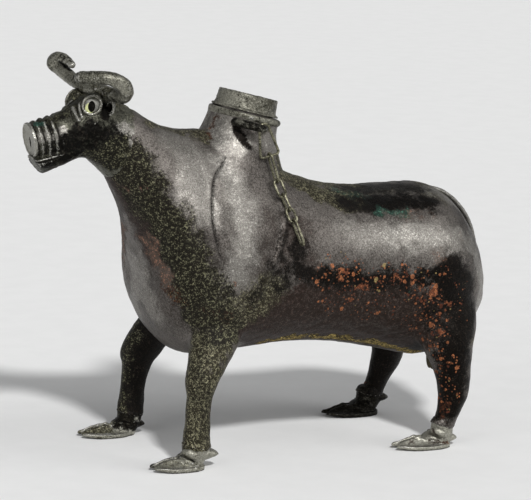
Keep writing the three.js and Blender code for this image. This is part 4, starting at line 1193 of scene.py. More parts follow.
@dataclass
class Head:
    """The skull, the ringed muzzle, the jaw and what is set into them."""

    brow: tuple[float, float] = (-126.0, 225.5)
    crest: Vector = field(default_factory=lambda: Vector((-168.3, 0, 207.2)))
    pitch: float = math.radians(11)
    length: float = 23.0
    half_width: float = 11.5
    ridge: float = 4.4
    groove: float = 1.3
    first_groove: float = 2.6
    turn: float = math.radians(5)
    neck_x: float = -140.0
    plate_height: float = 10.9
    plate_half_width: float = 11.3
    mouth: float = 23.2
    plate_thickness: float = 2.2
    eye_setback: Point = (-6.0, 13.4, -6.5)
    eye_radius: float = 5.5
    eye_rod: float = 0.85
    ear_setback: Point = (6.0, 14.5, -8.0)
    voxel: float = 0.55

    @property
    def down(self) -> Vector:
        """Down along the muzzle's face."""
        return Vector((math.sin(self.pitch), 0, -math.cos(self.pitch)))

    @property
    def out(self) -> Vector:
        """Out of the muzzle's face."""
        return Vector((-math.cos(self.pitch), 0, -math.sin(self.pitch)))

    def skull(self) -> bpy.types.Object:
        """The head from inside the neck to the brow."""
        stations = [
            Section((-115, 172.5), (-96, 211), 19.5), Section((-128, 184), (-113, 222), 17.5, 0.04),
            Section((-135, 185.5), (-126, 225.5), 17.5), Section((-141, 184.5), (-137, 219.5), 15.5),
            Section((-148, 185), (-147, 213), 12.5),
        ]
        numbers = [s.numbers() for s in stations]
        rings = [section_ring(spline(numbers, i / 36), 64) for i in range(37)]
        inner = [p + Vector((4.5, 0, -1.5)) for p in rings[0]]
        middle = sum(inner, Vector()) / len(inner)
        return loft("skull", [[middle + (p - middle) * 0.88 for p in inner], *rings])

    def muzzle(self) -> bpy.types.Object:
        """The ringed muzzle."""
        rings = []
        for i in range(100):
            back = 1.9 + i * (self.length - 1.9) / 99
            u = back / self.length
            high = self.crest - self.out * back + UPWARD * (2.6 * u)
            tall = 23.2 + 6.5 * u
            groove = 0.0
            if back < 4 * self.ridge:
                wave = 2 * math.pi * (back - self.first_groove) / self.ridge
                groove = self.groove * (0.5 + 0.5 * math.cos(wave)) ** 1.8
            wide = self.half_width + 2 * u * u - groove
            rings.append(oval(high + self.down * (tall / 2), ACROSS, self.down, wide, tall / 2 - groove, 72))
        return loft("muzzle", rings)

    def jaw(self) -> bpy.types.Object:
        """The lower jaw."""
        rings = []
        for i in range(41):
            u = i / 40
            back = -0.8 + u * (self.length + 10.4)
            low = self.crest + self.down * (32.5 - 0.5 * u) - self.out * back + UPWARD * (6.0 * u ** 1.3)
            tall = 12.6 + 5.4 * u
            slant = 4.6 * (1 - smoothstep(0.0, 0.4, u))
            front = 1 - 0.10 * (1 - smoothstep(0.0, 0.07, u))
            chin = 0.62 * (1 - smoothstep(0.0, 0.5, u))
            ring = []
            for j in range(56):
                angle = 2 * math.pi * j / 56
                wide = (11.2 + 0.4 * u) * front * (1 - chin * max(0.0, math.sin(angle)))
                ring.append(low - self.down * (tall / 2 * (1 - front * math.sin(angle)))
                            - self.out * (slant * (0.5 + 0.5 * math.sin(angle))) + ACROSS * (wide * math.cos(angle)))
            rings.append(ring)
        return loft("jaw", rings)

    def eye_frame(self, side: Side) -> tuple[Vector, Vector, Vector, Vector]:
        """Where an eye is: its centre, and the ways rearwards, upwards and out of it."""
        back, wide, up = self.eye_setback
        centre = Vector((self.brow[0] + back, side.value * wide, self.brow[1] + up))
        out = Vector((-0.38, side.value * 0.9, 0.2)).normalized()
        rear = (ALONG - out * ALONG.dot(out)).normalized()
        rise = (UPWARD - out * UPWARD.dot(out)).normalized()
        return centre, rear, rise, out

    def mound(self, side: Side) -> bpy.types.Object:
        """The swelling that the eye sits on."""
        centre, rear, rise, out = self.eye_frame(side)
        return loft(f"mound_{side.name.lower()}", [
            oval(centre + out * proud, rear, rise, radius, radius, 40)
            for radius, proud in ((6.6, -6), (6.5, -2.2), (6.1, -0.8), (5.2, -0.1), (2.5, 0.1))])

    def eye(self, side: Side) -> list[bpy.types.Object]:
        """A raised ring, the disc within it with its pointed pupil, and the inlay's crescent."""
        centre, rear, rise, out = self.eye_frame(side)
        name = side.name.lower()

        def at(x: float, z: float, proud: float) -> Vector:
            """A point of the eye, set out on its disc and proud of it."""
            return centre + rear * x + rise * z + out * proud

        hoop = [at(self.eye_radius * math.cos(a), self.eye_radius * math.sin(a), 0.9)
                for a in (2 * math.pi * i / 24 for i in range(24))]
        ring = tube(f"eye_ring_{name}_piece", [tuple(p) for p in hoop], [self.eye_rod] * 2, 96, 20, loop=True)
        clay = Clay(ring)
        clay.rise += 0.12 * ripple(clay.own, 5, 1.0)
        clay.press()
        stained(ring, (), (Stain.WORN, Stain.SOOT, Stain.CREASE), wear=0.2 + 0.4 * np.clip(
            (clay.own - np.array(centre)) @ np.array(out) - 0.9, 0, 1))

        disc = loft(f"eye_disc_{name}", [oval(at(0, 0, proud), rear, rise, r, r, 64) for r, proud in
                                         ((4.6, -1.6), (4.6, 0.2), (4.4, 0.7), (3.4, 1.05), (1.8, 1.25))])
        crescent = loft(f"eye_crescent_{name}", [oval(at(-1.4, -1.8, proud), rear, rise, r, 1.14 * r, 48) for r, proud
                                                 in ((2.8, 0.4), (2.85, 1.25), (2.5, 1.4), (1.2, 1.5))])
        for piece in (disc, crescent):
            cut(piece, loft("pupil", [self.almond(at(-0.3, -0.9, proud), rear, rise) for proud in (-2.4, 3)]))
        stained(disc, (), (Stain.WORN,))
        dressed(ring, COLLAR_FINISH, f"eye_ring_{name}")
        dressed(disc, SOCKET_FINISH, f"eye_inlay_{name}")
        dressed(crescent, INLAY_FINISH)
        return [ring, disc, crescent]

    def almond(self, centre: Vector, rear: Vector, rise: Vector) -> Ring:
        """A pointed oval, the outline of the pupil."""
        ring = []
        for i in range(40):
            a = 2 * math.pi * i / 40
            ring.append(centre + rear * (2.2 * math.cos(a) * abs(math.cos(a)) ** 0.25) + rise * (3.5 * math.sin(a)))
        return ring

    def ear(self, side: Side) -> bpy.types.Object:
        """A small cupped ear with a raised rim that curls at its lower end."""
        back, wide, up = self.ear_setback
        s = side.value
        root = Vector((self.brow[0] + back, s * wide, self.brow[1] + up))
        cup = lump(f"ear_{side.name.lower()}_piece", tuple(root), (2.6, 3.7, 4.6), 48)
        cut(cup, lump("ear_hollow", tuple(root + Vector((-2.3, s * 1.5, 0.2))), (2.2, 2.9, 3.5), 40))
        edge = [(root.x + 0.4, root.y + s * 0.4, root.z + 4.5), (root.x + 0.3, root.y + s * 2.4, root.z + 3.5),
                (root.x + 0.1, root.y + s * 3.6, root.z + 0.6), (root.x, root.y + s * 3.2, root.z - 2.6),
                (root.x - 0.5, root.y + s * 1.6, root.z - 4.2)]
        rim = tube("ear_rim", edge, [0.5, 0.62, 0.66, 0.6, 0.75], 30, 12)
        curl = lump("ear_curl", (root.x - 0.9, root.y + s * 1.2, root.z - 4.3), (0.95, 0.95, 0.95), 16)
        ear = run_together(cup.name, [cup, rim, curl], 0.28, 2)
        clay = Clay(ear)
        bend = clay.bend(3)
        inside = (root.x - 1.6, -abs(root.y) - 0.8, root.z)
        dark = Patch(Stain.SOOT, (inside, (inside[0], inside[1], inside[2] - 1.4)), 2.6, 3.4, 1.0, stray=0.1)
        rim_line = to_path(clay.own, edge)
        stained(ear, (dark,), (Stain.SOOT, Stain.WORN, Stain.OLIVE),
                wear=np.maximum(np.clip((bend - 0.12) / 0.3, 0, 1), bell(rim_line, 0.9)))
        return dressed(ear, HORN_FINISH, f"ear_{side.name.lower()}")

    def plate(self) -> bpy.types.Object:
        """The flat nose plate, with a raised rim, a dished face and a slit."""
        middle = self.crest + self.down * self.plate_height
        profile = ((0.96, -self.plate_thickness), (1.0, -1.9), (1.0, -0.75), (0.985, -0.28), (0.95, -0.05), (0.91, 0.0),
                   (0.87, -0.14), (0.83, -0.5), (0.78, -0.72), (0.6, -0.84), (0.4, -0.9), (0.2, -0.93), (0.08, -0.94))
        rings = [oval(middle + self.out * depth, ACROSS, self.down, self.plate_half_width * share,
                      self.plate_height * share, 96) for share, depth in profile]
        plate = loft("nose_plate_piece", rings)
        modify(plate, "SUBSURF", levels=1, render_levels=1)
        clay = Clay(plate)
        clay.rise += 0.07 * ripple(clay.own, 6, 2.0) + 0.05 * ripple(clay.own, 2.4, 0.6)
        clay.press()
        slit = middle + self.down * 1.2
        cut(plate, loft("slit", [oval(slit + self.out * d, ACROSS, self.down, 1.0, 2.6, 28) for d in (1.5, -1.7)]))
        clay = Clay(plate)
        below = (clay.own - np.array(middle)) @ np.array(self.down)
        spread = np.hypot(clay.own[:, 1] / self.plate_half_width, below / self.plate_height)
        hole = np.hypot(clay.own[:, 1], (below - 1.2) / 2.6)
        stained(plate, (), (Stain.CREASE, Stain.WORN), fade(hole, 1.0, 1.5), 0.95 * bell(spread - 0.95, 0.06))
        self.turn_aside(plate)
        return dressed(plate, PLATE_FINISH, "nose_plate")

    def turn_aside(self, piece: bpy.types.Object) -> None:
        """Turns the muzzle a little to the right, more and more in front of the eyes."""
        clay = Clay(piece)
        ahead = self.neck_x - clay.own[:, 0]
        share = np.clip((ahead + 2) / 14, 0, 1)
        angle = self.turn * share * share * (3 - 2 * share)
        across = clay.own[:, 1].copy()
        clay.own[:, 0] = self.neck_x - ahead * np.cos(angle) + across * np.sin(angle)
        clay.own[:, 1] = across * np.cos(angle) + ahead * np.sin(angle)
        clay.press()

    def rings_seen(self, clay: Clay) -> np.ndarray:
        """1 on the crests of the muzzle's rings and -1 in their grooves, 0 elsewhere."""
        from_crest = np.array(self.crest) - clay.own
        back = from_crest @ np.array(self.out)
        below = -from_crest @ np.array(self.down)
        wave = -np.cos(2 * math.pi * (back - self.first_groove) / self.ridge)
        return wave * ((back > 1.2) & (back < 4 * self.ridge)) * fade(np.abs(below - 11), 8, 12)

    def lips(self, clay: Clay) -> tuple[np.ndarray, np.ndarray]:
        """The lip above the mouth's line and the line itself, 1 on each and 0 elsewhere."""
        from_crest = np.array(self.crest) - clay.own
        back = from_crest @ np.array(self.out)
        below = -from_crest @ np.array(self.down) + 0.06 * back
        side = np.clip((np.abs(clay.own[:, 1]) - 5) / 2, 0, 1) * fade(back, 12, 19) * (back > -3)
        return bell(below - self.mouth + 0.7, 0.4) * side, bell(below - self.mouth - 0.2, 0.5) * side

    def build(self) -> list[bpy.types.Object]:
        """Builds the head and everything set into it."""
        head = run_together("head_skin", [self.skull(), self.muzzle(), self.jaw(),
                                          *(self.mound(side) for side in Side)], self.voxel, 2)
        clay = Clay(head)
        wear, crease = np.zeros(len(clay.own)), np.zeros(len(clay.own))
        for stroke in HEAD_STROKES:
            stroke.apply(clay, wear, crease)
        clay.rise += 1.3 * bell(to_path(clay.folded, [(-134, -8, 222), (-127, -14, 224)]), 3.2)
        clay.rise += 0.16 * ripple(clay.own, 12, 1.0) + 0.07 * ripple(clay.own, 4.2, 4.0)
        nape = bell(np.linalg.norm(clay.own[:, [0, 2]] - np.array((-104, 212)), axis=1), 8)
        clay.rise += 0.35 * nape * ripple(clay.own, 5.5, 2.0)
        clay.press()
        lip, line = self.lips(clay)
        clay.rise += 0.25 * lip - 0.5 * line
        clay.press()
        bend, rings = clay.bend(4), self.rings_seen(clay)
        wear = np.maximum.reduce([wear, np.clip((bend - 0.10) / 0.25, 0, 0.8), 0.62 * np.clip(rings, 0, 1) ** 2, 0.75 * lip])
        crease = np.maximum.reduce([crease, np.clip((-bend - 0.08) / 0.22, 0, 0.9), np.clip(-rings, 0, 1) ** 3, line])
        stained(head, HEAD_PATCHES, HEAD_FINISH.tints, crease, wear)
        self.turn_aside(head)
        only(head)
        bpy.ops.object.shade_smooth()
        pieces = [dressed(head, HEAD_FINISH, "head"), self.plate()]
        for side in Side:
            pieces += [*self.eye(side), self.ear(side)]
        return pieces


@dataclass
class Horns:
    """One smooth bar bent into both horns, laid across the crown."""

    brow: tuple[float, float] = (-126.0, 225.5)
    path: tuple[Point, ...] = (
        (-2.8, 24, 13.2), (-4.2, 31, 15.8), (-6.2, 38, 16), (-6.6, 42.5, 12.2), (-4.6, 38, 9.6), (-3.6, 27, 6),
        (-2.5, 14, 3), (-1, 0, 1.4), (2.5, -9, 1.4), (6, -16, 0), (8.8, -23, -0.9), (9.2, -28.5, 2.4),
        (6.6, -30.5, 7), (1, -29, 10.4), (-6, -25, 11.5), (-16, -16.5, 11),
    )
    tip: float = 2.3
    turn: float = 4.7
    crown: float = 4.0
    ball: float = 3.4

    def radius(self, u: float) -> float:
        """The bar's radius a share u of the way along it."""
        near = min(u, 1 - u)
        if u < 0.18:
            return between(self.tip, self.turn, u / 0.18)
        if near < 0.18:
            return between(self.ball + 0.5, self.turn, near / 0.18)
        return between(self.turn, self.crown, smoothstep(0.24, 0.42, near))

    def build(self) -> bpy.types.Object:
        """The bar with its rounded ends."""
        route = [(self.brow[0] + x, y, self.brow[1] + z) for x, y, z in self.path]
        bar = tube("horn_bar_piece", route, [self.radius(i / 60) for i in range(61)], 220, 36)
        ends = [lump("horn_tip", route[0], (self.tip,) * 3, 32), lump("horn_ball", route[-1], (self.ball,) * 3, 32)]
        horns = run_together("horn_bar_piece", [bar, *ends], 0.55, 3)
        clay = Clay(horns)
        clay.rise += 0.14 * ripple(clay.own, 11, 3.0) + 0.05 * ripple(clay.own, 3.6, 1.0) - 0.12
        clay.press()
        patches = (
            Patch(Stain.SOOT, ((-120, -18, 221), (-117, -25, 222)), 1, 5.5, 0.8),
            Patch(Stain.SOOT, ((-128, -14, 232), (-121, -21, 230.5), (-117.6, -26, 229)), 0.5, 2.4, 0.9),
            Patch(Stain.SOOT, ((-129, 24, 239), (-130.5, 31, 241.5)), 1, 4.5, 0.9, Side.RIGHT),
            Patch(Stain.OLIVE, ((-128, -2, 230), (-122, -14, 226)), 3, 8, 0.6),
            Patch(Stain.OLIVE, ((-119, -30, 236), (-126, -28, 240)), 2, 7, 0.5),
            Patch(Stain.WORN, ((-117.4, -27, 228), (-118.4, -30, 233), (-124, -29.5, 238)), 1.2, 4.5, 0.6),
        )
        bend = clay.bend(6)
        stained(horns, patches, HORN_FINISH.tints, wear=0.6 * np.clip((bend - 0.075) / 0.05, 0, 1))
        only(horns)
        bpy.ops.object.shade_smooth()
        return dressed(horns, HORN_FINISH, "horn_bar")


@dataclass
class Collar:
    """The band and the moulding round the filling neck, and the chain's lug."""

    trunk: Trunk
    band: tuple[tuple[float, float], ...] = (
        (16.2, 0.4), (16.2, 10.7), (16.7, 10.9), (18.2, 10.9), (18.6, 10.5), (18.75, 8.6), (19.0, 6.2), (19.2, 4),
        (19.5, 2.4), (19.9, 1.7), (20.9, 1.5), (21.2, 1.1), (21.2, 0.6), (20.9, 0.3),
    )
    lug: tuple[tuple[float, float], ...] = ((-13, 15), (-14.2, 20.5), (-10, 27.5), (-4.5, 32.5), (-1.2, 32.3), (1.2, 28),
                                            (1.8, 20))

    def rim_band(self) -> bpy.types.Object:
        """The band, worn uneven at its lips."""
        rings = []
        for (r1, h1), (r2, h2) in zip(self.band, (*self.band[1:], self.band[0])):
            steps = max(1, round(math.hypot(r2 - r1, h2 - h1) / 0.6))
            rings += [self.trunk.spout_ring(between(h1, h2, i / steps), between(r1, r2, i / steps),
                                            between(r1, r2, i / steps), 160) for i in range(steps)]
        band = loft("rim_band_piece", rings, loop=True)
        modify(band, "SMOOTH", factor=0.5, iterations=1)
        clay = Clay(band)
        clay.rise += 0.16 * ripple(clay.own, 8, 1.0) + 0.09 * ripple(clay.own, 3.2, 2.0)
        clay.rise -= 0.05
        clay.press()
        self.wear(band)
        return dressed(band, COLLAR_FINISH, "rim_band")

    def wear(self, piece: bpy.types.Object) -> None:
        """Brightens a turned piece's edges and darkens its grooves."""
        clay = Clay(piece)
        bend = clay.bend(2)
        patches = (
            Patch(Stain.WORN, ((-33, -16, 207), (-29, -19, 208), (-25, -20, 208)), 1.2, 4, 0.9),
            Patch(Stain.SOOT, ((-12, -16, 212), (-6, -12, 212)), 1.5, 5, 0.5),
        )
        stained(piece, patches, COLLAR_FINISH.tints, np.clip((-bend - 0.12) / 0.3, 0, 0.9),
                np.clip((bend - 0.14) / 0.3, 0, 0.85))

    def moulding(self) -> bpy.types.Object:
        """The moulding, slight in front and prouder at the rear."""
        profile = ((19.0, 0.0, -0.6), (22.0, 0.0, -0.7), (22.3, 0.5, -1.1), (22.3, 0.85, -1.7), (22.3, 1.0, -2.4),
                   (22.3, 0.95, -3.1), (22.3, 0.7, -3.8), (22.3, 0.3, -4.3), (22.0, 0.0, -4.9), (19.0, 0.0, -5.1))
        sides = 160
        rings = []
        for radius, share, height in profile:
            ring = []
            for i in range(sides):
                a = 2 * math.pi * i / sides
                proud = radius + share * between(0.0, 1.5, 0.5 + 0.5 * math.cos(a))
                ring.append(self.trunk.spout_point(height) + self.trunk.spout_rear * (proud * math.cos(a))
                            + ACROSS * (proud * math.sin(a)))
            rings.append(ring)
        moulding = loft("neck_moulding_piece", rings, loop=True)
        clay = Clay(moulding)
        clay.rise += 0.12 * ripple(clay.own, 7, 5.0) + 0.06 * ripple(clay.own, 2.8, 2.0)
        clay.press()
        self.wear(moulding)
        return dressed(moulding, COLLAR_FINISH, "neck_moulding")

    def staple(self) -> bpy.types.Object:
        """The lug that the chain hangs from."""
        base = self.trunk.spout_point(-7.2)
        path = [tuple(base + self.trunk.spout_rear * along - ACROSS * out) for along, out in self.lug]
        lug = tube("chain_lug_piece", path, [2.7, 2.7, 2.65, 2.5, 2.2, 1.95, 1.95], 90, 28)
        clay = Clay(lug)
        clay.rise += 0.10 * ripple(clay.own, 5, 5.0) + 0.05 * ripple(clay.own, 2.2, 2.0) - 0.1
        clay.press()
        stained(lug, (Patch(Stain.SOOT, (path[0], path[2], path[4], path[6]), 2, 9, 0.85),), COLLAR_FINISH.tints)
        return dressed(lug, COLLAR_FINISH, "chain_lug")

    def build(self) -> list[bpy.types.Object]:
        """Builds the collar's three pieces."""
        pieces = [self.rim_band(), self.moulding(), self.staple()]
        for piece in pieces:
            only(piece)
            bpy.ops.object.shade_smooth()
        return pieces


FOOT_PATCHES = (
    Patch(Stain.OLIVE, ((-98, -50, 3), (-88, -54, 5), (-78, -56, 4)), 3, 9, 0.45),
    Patch(Stain.OLIVE, ((-104, 48, 2), (-92, 44, 6)), 5, 12, 0.8, Side.RIGHT),
    Patch(Stain.UMBER, ((76, -53, 5), (86, -55, 6), (94, -55, 5)), 1.5, 4.5, 0.75, Side.LEFT),
    Patch(Stain.RUST, ((97, -56, 2.5), (102, -55, 2)), 1, 3.6, 0.8, Side.LEFT),
    Patch(Stain.SOOT, ((70, 48, 2), (90, 48, 6), (110, 48, 6)), 14, 22, 0.9, Side.RIGHT),
    Patch(Stain.SOOT, ((-80, 50, 9), (-70, 50, 7), (-62, 48, 5)), 5, 9, 1.0, Side.RIGHT),
    Patch(Stain.SOOT, ((-80, 42, 9), (-70, 40, 7), (-62, 44, 5)), 5, 9, 1.0, Side.RIGHT),
    Patch(Stain.SOOT, ((-100, -40, 2), (-84, -38, 4), (-72, -38, 4)), 3, 8, 0.7, Side.LEFT),
    Patch(Stain.SOOT, ((74, -40, 2), (90, -38, 4), (102, -38, 4)), 3, 8, 0.7),
)


@dataclass
class Foot:
    """A cloven foot: two leaf-shaped claws with raised rims, a lobe behind each and a spur."""

    stance: Stance
    half_stance: float = 48.0
    sole: float = -1.7
    top: float = 14.4
    flatness: float = 0.88
    cleft: float = 0.7
    toe_lift: float = 1.7
    widest: float = 59.5
    voxel: float = 0.42

    def point(self, x: float, across: float, z: float) -> Vector:
        """A point of the foot; across is measured from its middle line to its outer side."""
        return Vector((x, self.stance.side.value * (self.half_stance + across), z))

    @property
    def toe(self) -> float:
        """Where the foot starts in front."""
        return self.stance.foot - self.stance.length / 2

    @property
    def apex(self) -> Point:
        """The top of the claws, where their rims part."""
        return (self.toe + self.stance.length * (0.56 if self.stance.end == "front" else 0.36), 2.0, 6.0)

    @property
    def branch(self) -> list[Point]:
        """The rim that falls from the claws' top to the outer side, as along, across and up."""
        x, across, z = self.apex
        end = self.toe + self.stance.length * 0.73
        return [(x, across, z), (between(x, end, 0.45), 5.6, 4.6), (between(x, end, 0.8), 8.2, 3.2), (end, 9.8, 1.8)]

    def claw(self, s: int) -> bpy.types.Object:
        """One claw, set out along the foot: a crest beside the cleft, a hollow and a low outer rim."""
        shape = ((0.0, 4.0, 1.7), (0.03, 5.2, 2.2), (0.10, 7.2, 3.2), (0.26, 9.8, 5.0), (0.42, 11.0, 5.9),
                 (0.58, 11.35, 6.0), (0.75, 10.9, 4.6), (0.88, 9.0, 3.6), (0.95, 7.2, 3.0), (1.0, 4.0, 2.2))
        rings = []
        for i in range(46):
            t = i / 45
            wide, crest = (float(np.interp(t, [k[0] for k in shape], [k[j] for k in shape])) for j in (1, 2))
            lift = self.toe_lift * (1 - smoothstep(0.0, 0.35, t))
            inner = self.cleft + 2.0 * (1 - smoothstep(0.0, 0.14, t))
            sole = self.sole + lift
            rim = min(1.1 + lift * 0.4, crest * 0.7)
            sag = 0.7 * min(1.0, 4 * t, 4 * (1 - t))
            outline = [(0.0, sole), (0.0, crest - 1.2), (0.06, crest - 0.3), (0.15, crest), (0.24, crest - 0.35)]
            outline += [(between(0.24, 0.88, f), between(crest - 0.35, rim - 0.2, f) - sag * math.sin(math.pi * f))
                        for f in (0.2, 0.4, 0.6, 0.8)]
            outline += [(0.9, rim), (0.95, rim), (0.99, rim - 0.4), (1.0, between(sole, rim, 0.5)),
                        (0.97, sole + 0.5), (0.92, sole)]
            rings.append([self.point(self.toe + self.stance.length * t, s * (inner + f * (wide - inner)), max(z, sole))
                          for f, z in outline])
        return loft("claw", rings)

    def core(self) -> list[bpy.types.Object]:
        """The block under the ankle, the instep before it and the spur behind it."""
        ankle, girth = self.stance.ankle, self.stance.girth
        block = loft("core", [oval(self.point(ankle + x, 0, z), ALONG, ACROSS, a, b, 48) for x, z, a, b in (
            (-4.0, self.sole, 6.8, 7.0), (-3.6, 0.5, 7.0, 7.4), (-2.4, 3.2, 7.4, 7.6), (-0.8, 6.5, girth - 0.6, 7.5),
            (0.0, self.top, girth - 0.5, girth * self.flatness - 0.5))])
        wide = 8.5 if self.stance.end == "front" else 10.0
        instep = lump("instep", tuple(self.point(ankle - 5.5, 0, 3.2)), (wide, 8.0, 5.3), 32)
        tip, height = self.stance.spur_tip
        spur = loft("spur", [oval(self.point(tip - back, 0, height + (over - under) / 2), ACROSS, UPWARD, wide,
                                  (over + under) / 2, 32) for back, wide, over, under in (
            (15, girth * 0.75, 5.6, 4.0), (8.5, girth * 0.72, 4.9, min(3.0, height + 1.5)),
            (4.0, girth * 0.58, 3.4, min(1.9, height + 1.5)), (1.4, girth * 0.38, 1.9, 1.2), (0.1, 1.8, 0.7, 0.5))])
        return [block, instep, spur]

    def lobe(self, s: int) -> bpy.types.Object:
        """The rounded lobe behind one claw, which falls towards the heel."""
        x = self.stance.ankle
        if s > 0 and self.stance.side is Side.LEFT:
            path, radii = ((-10.8, 4.2, 10.2), (-8.2, 7.2, 9.8), (-5.0, 9.0, 8.2), (-1.8, 9.4, 6.4)), [1.6, 2.6, 2.4, 0.9]
        else:
            path, radii = ((-7.6, 4.4, 7.0), (-6.2, 6.2, 6.6), (-4.2, 7.4, 5.8), (-1.8, 7.6, 4.8)), [0.6, 1.4, 1.6, 0.7]
        return tube("lobe", [tuple(self.point(x + ahead, s * across, z)) for ahead, across, z in path], radii, 24, 20)

    def block(self) -> bpy.types.Object:
        """The foot's mass."""
        pieces = [self.claw(s) for s in (-1, 1)] + self.core() + [self.lobe(s) for s in (-1, 1)]
        return run_together(f"{self.stance.node('foot')}_piece", pieces, self.voxel, 2)

    def carve(self, clay: Clay) -> tuple[np.ndarray, np.ndarray]:
        """Raises the claws' rims and cuts the lines beside them.

        Args:
            clay: the foot's points.

        Returns:
            How worn and how deep in a crease each point is.
        """
        x, z = clay.own[:, 0], clay.own[:, 2]
        across = np.abs(np.abs(clay.own[:, 1]) - self.half_stance)
        seen = np.stack((x, across, z), axis=1)
        branch = bell(to_path(seen, self.branch), 0.95)
        behind = bell(to_path(seen, [(p[0] + 1.7, p[1] + 0.4, p[2] + 0.9) for p in self.branch]), 0.85)
        crest = bell(to_path(seen, [(self.toe + 1.5, 1.3, 1.6), (self.toe + 8, 1.6, 5.0), self.apex]), 1.0)
        end = self.toe + self.stance.length * 0.78
        low_rim = bell(z - 1.2, 0.55) * np.clip((across - 3.0) / 2, 0, 1) * fade(x, end, end + 4)
        cleft = bell(across, 0.8) * fade(x, self.apex[0], self.apex[0] + 3)
        over_lobe = bell(to_path(seen, [(self.stance.ankle - 10, 4.6, 13.2), (self.stance.ankle - 5, 8.4, 11.2),
                                        (self.stance.ankle - 1.0, 9.2, 8.2)]), 0.8)
        under = bell(z - (self.sole + 0.5), 0.6) * np.clip(across - 1.5, 0, 1)
        clay.rise += 0.6 * branch - 0.5 * behind - 0.9 * cleft * (z > 0) - 0.35 * over_lobe
        clay.rise += 0.08 * ripple(clay.own, 5, 2.0) + 0.04 * ripple(clay.own, 2, 1.0)
        clay.press()
        clay.own[:, 1] = np.clip(clay.own[:, 1], -self.widest, self.widest)
        clay.press()
        clay.flatten(self.sole + 0.02)
        tip, height = self.stance.spur_tip
        spur = bell(x - tip + 5, 6.0) * bell(z - height - 3.4, 1.0)
        worn = np.maximum.reduce([0.9 * branch, crest, low_rim, 0.8 * spur])
        return worn, np.maximum.reduce([cleft * (z > -1), 0.9 * behind, 0.8 * over_lobe, 0.7 * under])

    def cuff(self) -> bpy.types.Object:
        """The ankle's skin, which ends in a slanting edge over the foot."""
        stance = self.stance
        slant = ((-1.0, 13.6), (-0.6, 12.4), (0.0, 11.3), (0.5, 11.2), (1.0, 11.4))

        def ring(share: float, swell: float) -> Ring:
            """The ankle's outline, a share of the way down to the slanting edge."""
            points = []
            for i in range(56):
                a = 2 * math.pi * i / 56
                low = float(np.interp(math.cos(a), [s for s, _ in slant], [z for _, z in slant]))
                points.append(self.point(stance.ankle + (stance.girth + swell) * math.cos(a),
                                         (stance.girth * self.flatness + swell) * math.sin(a),
                                         between(17.5, low, share)))
            return points

        cuff = loft(f"{stance.node('cuff')}", [ring(0.0, -2.0), ring(0.25, -1.1), ring(0.55, -0.3), ring(0.85, 0.3),
                                               ring(0.97, 0.3), ring(1.0, -0.1), ring(1.0, -1.6)])
        modify(cuff, "SUBSURF", levels=2, render_levels=2)
        clay = Clay(cuff)
        clay.rise += 0.12 * ripple(clay.own, 6, 2.0)
        clay.press()
        bend = clay.bend(2)
        stained(cuff, SKIN_PATCHES, ALL_STAINS, wear=np.clip((bend - 0.2) / 0.4, 0, 0.7))
        only(cuff)
        bpy.ops.object.shade_smooth()
        return dressed(cuff, SKIN_FINISH)

    def build(self) -> list[bpy.types.Object]:
        """Builds the foot and the cuff over it."""
        foot = self.block()
        clay = Clay(foot)
        worn, crease = self.carve(clay)
        bend = clay.bend(2)
        crease = np.maximum(crease, np.clip((-bend - 0.15) / 0.35, 0, 0.8))
        dim = 0.2 if self.stance is STANCES[3] else 0.8
        stained(foot, FOOT_PATCHES, FOOT_FINISH.tints, crease, worn * dim)
        only(foot)
        bpy.ops.object.shade_smooth()
        return [dressed(foot, FOOT_FINISH, self.stance.node("foot")), self.cuff()]


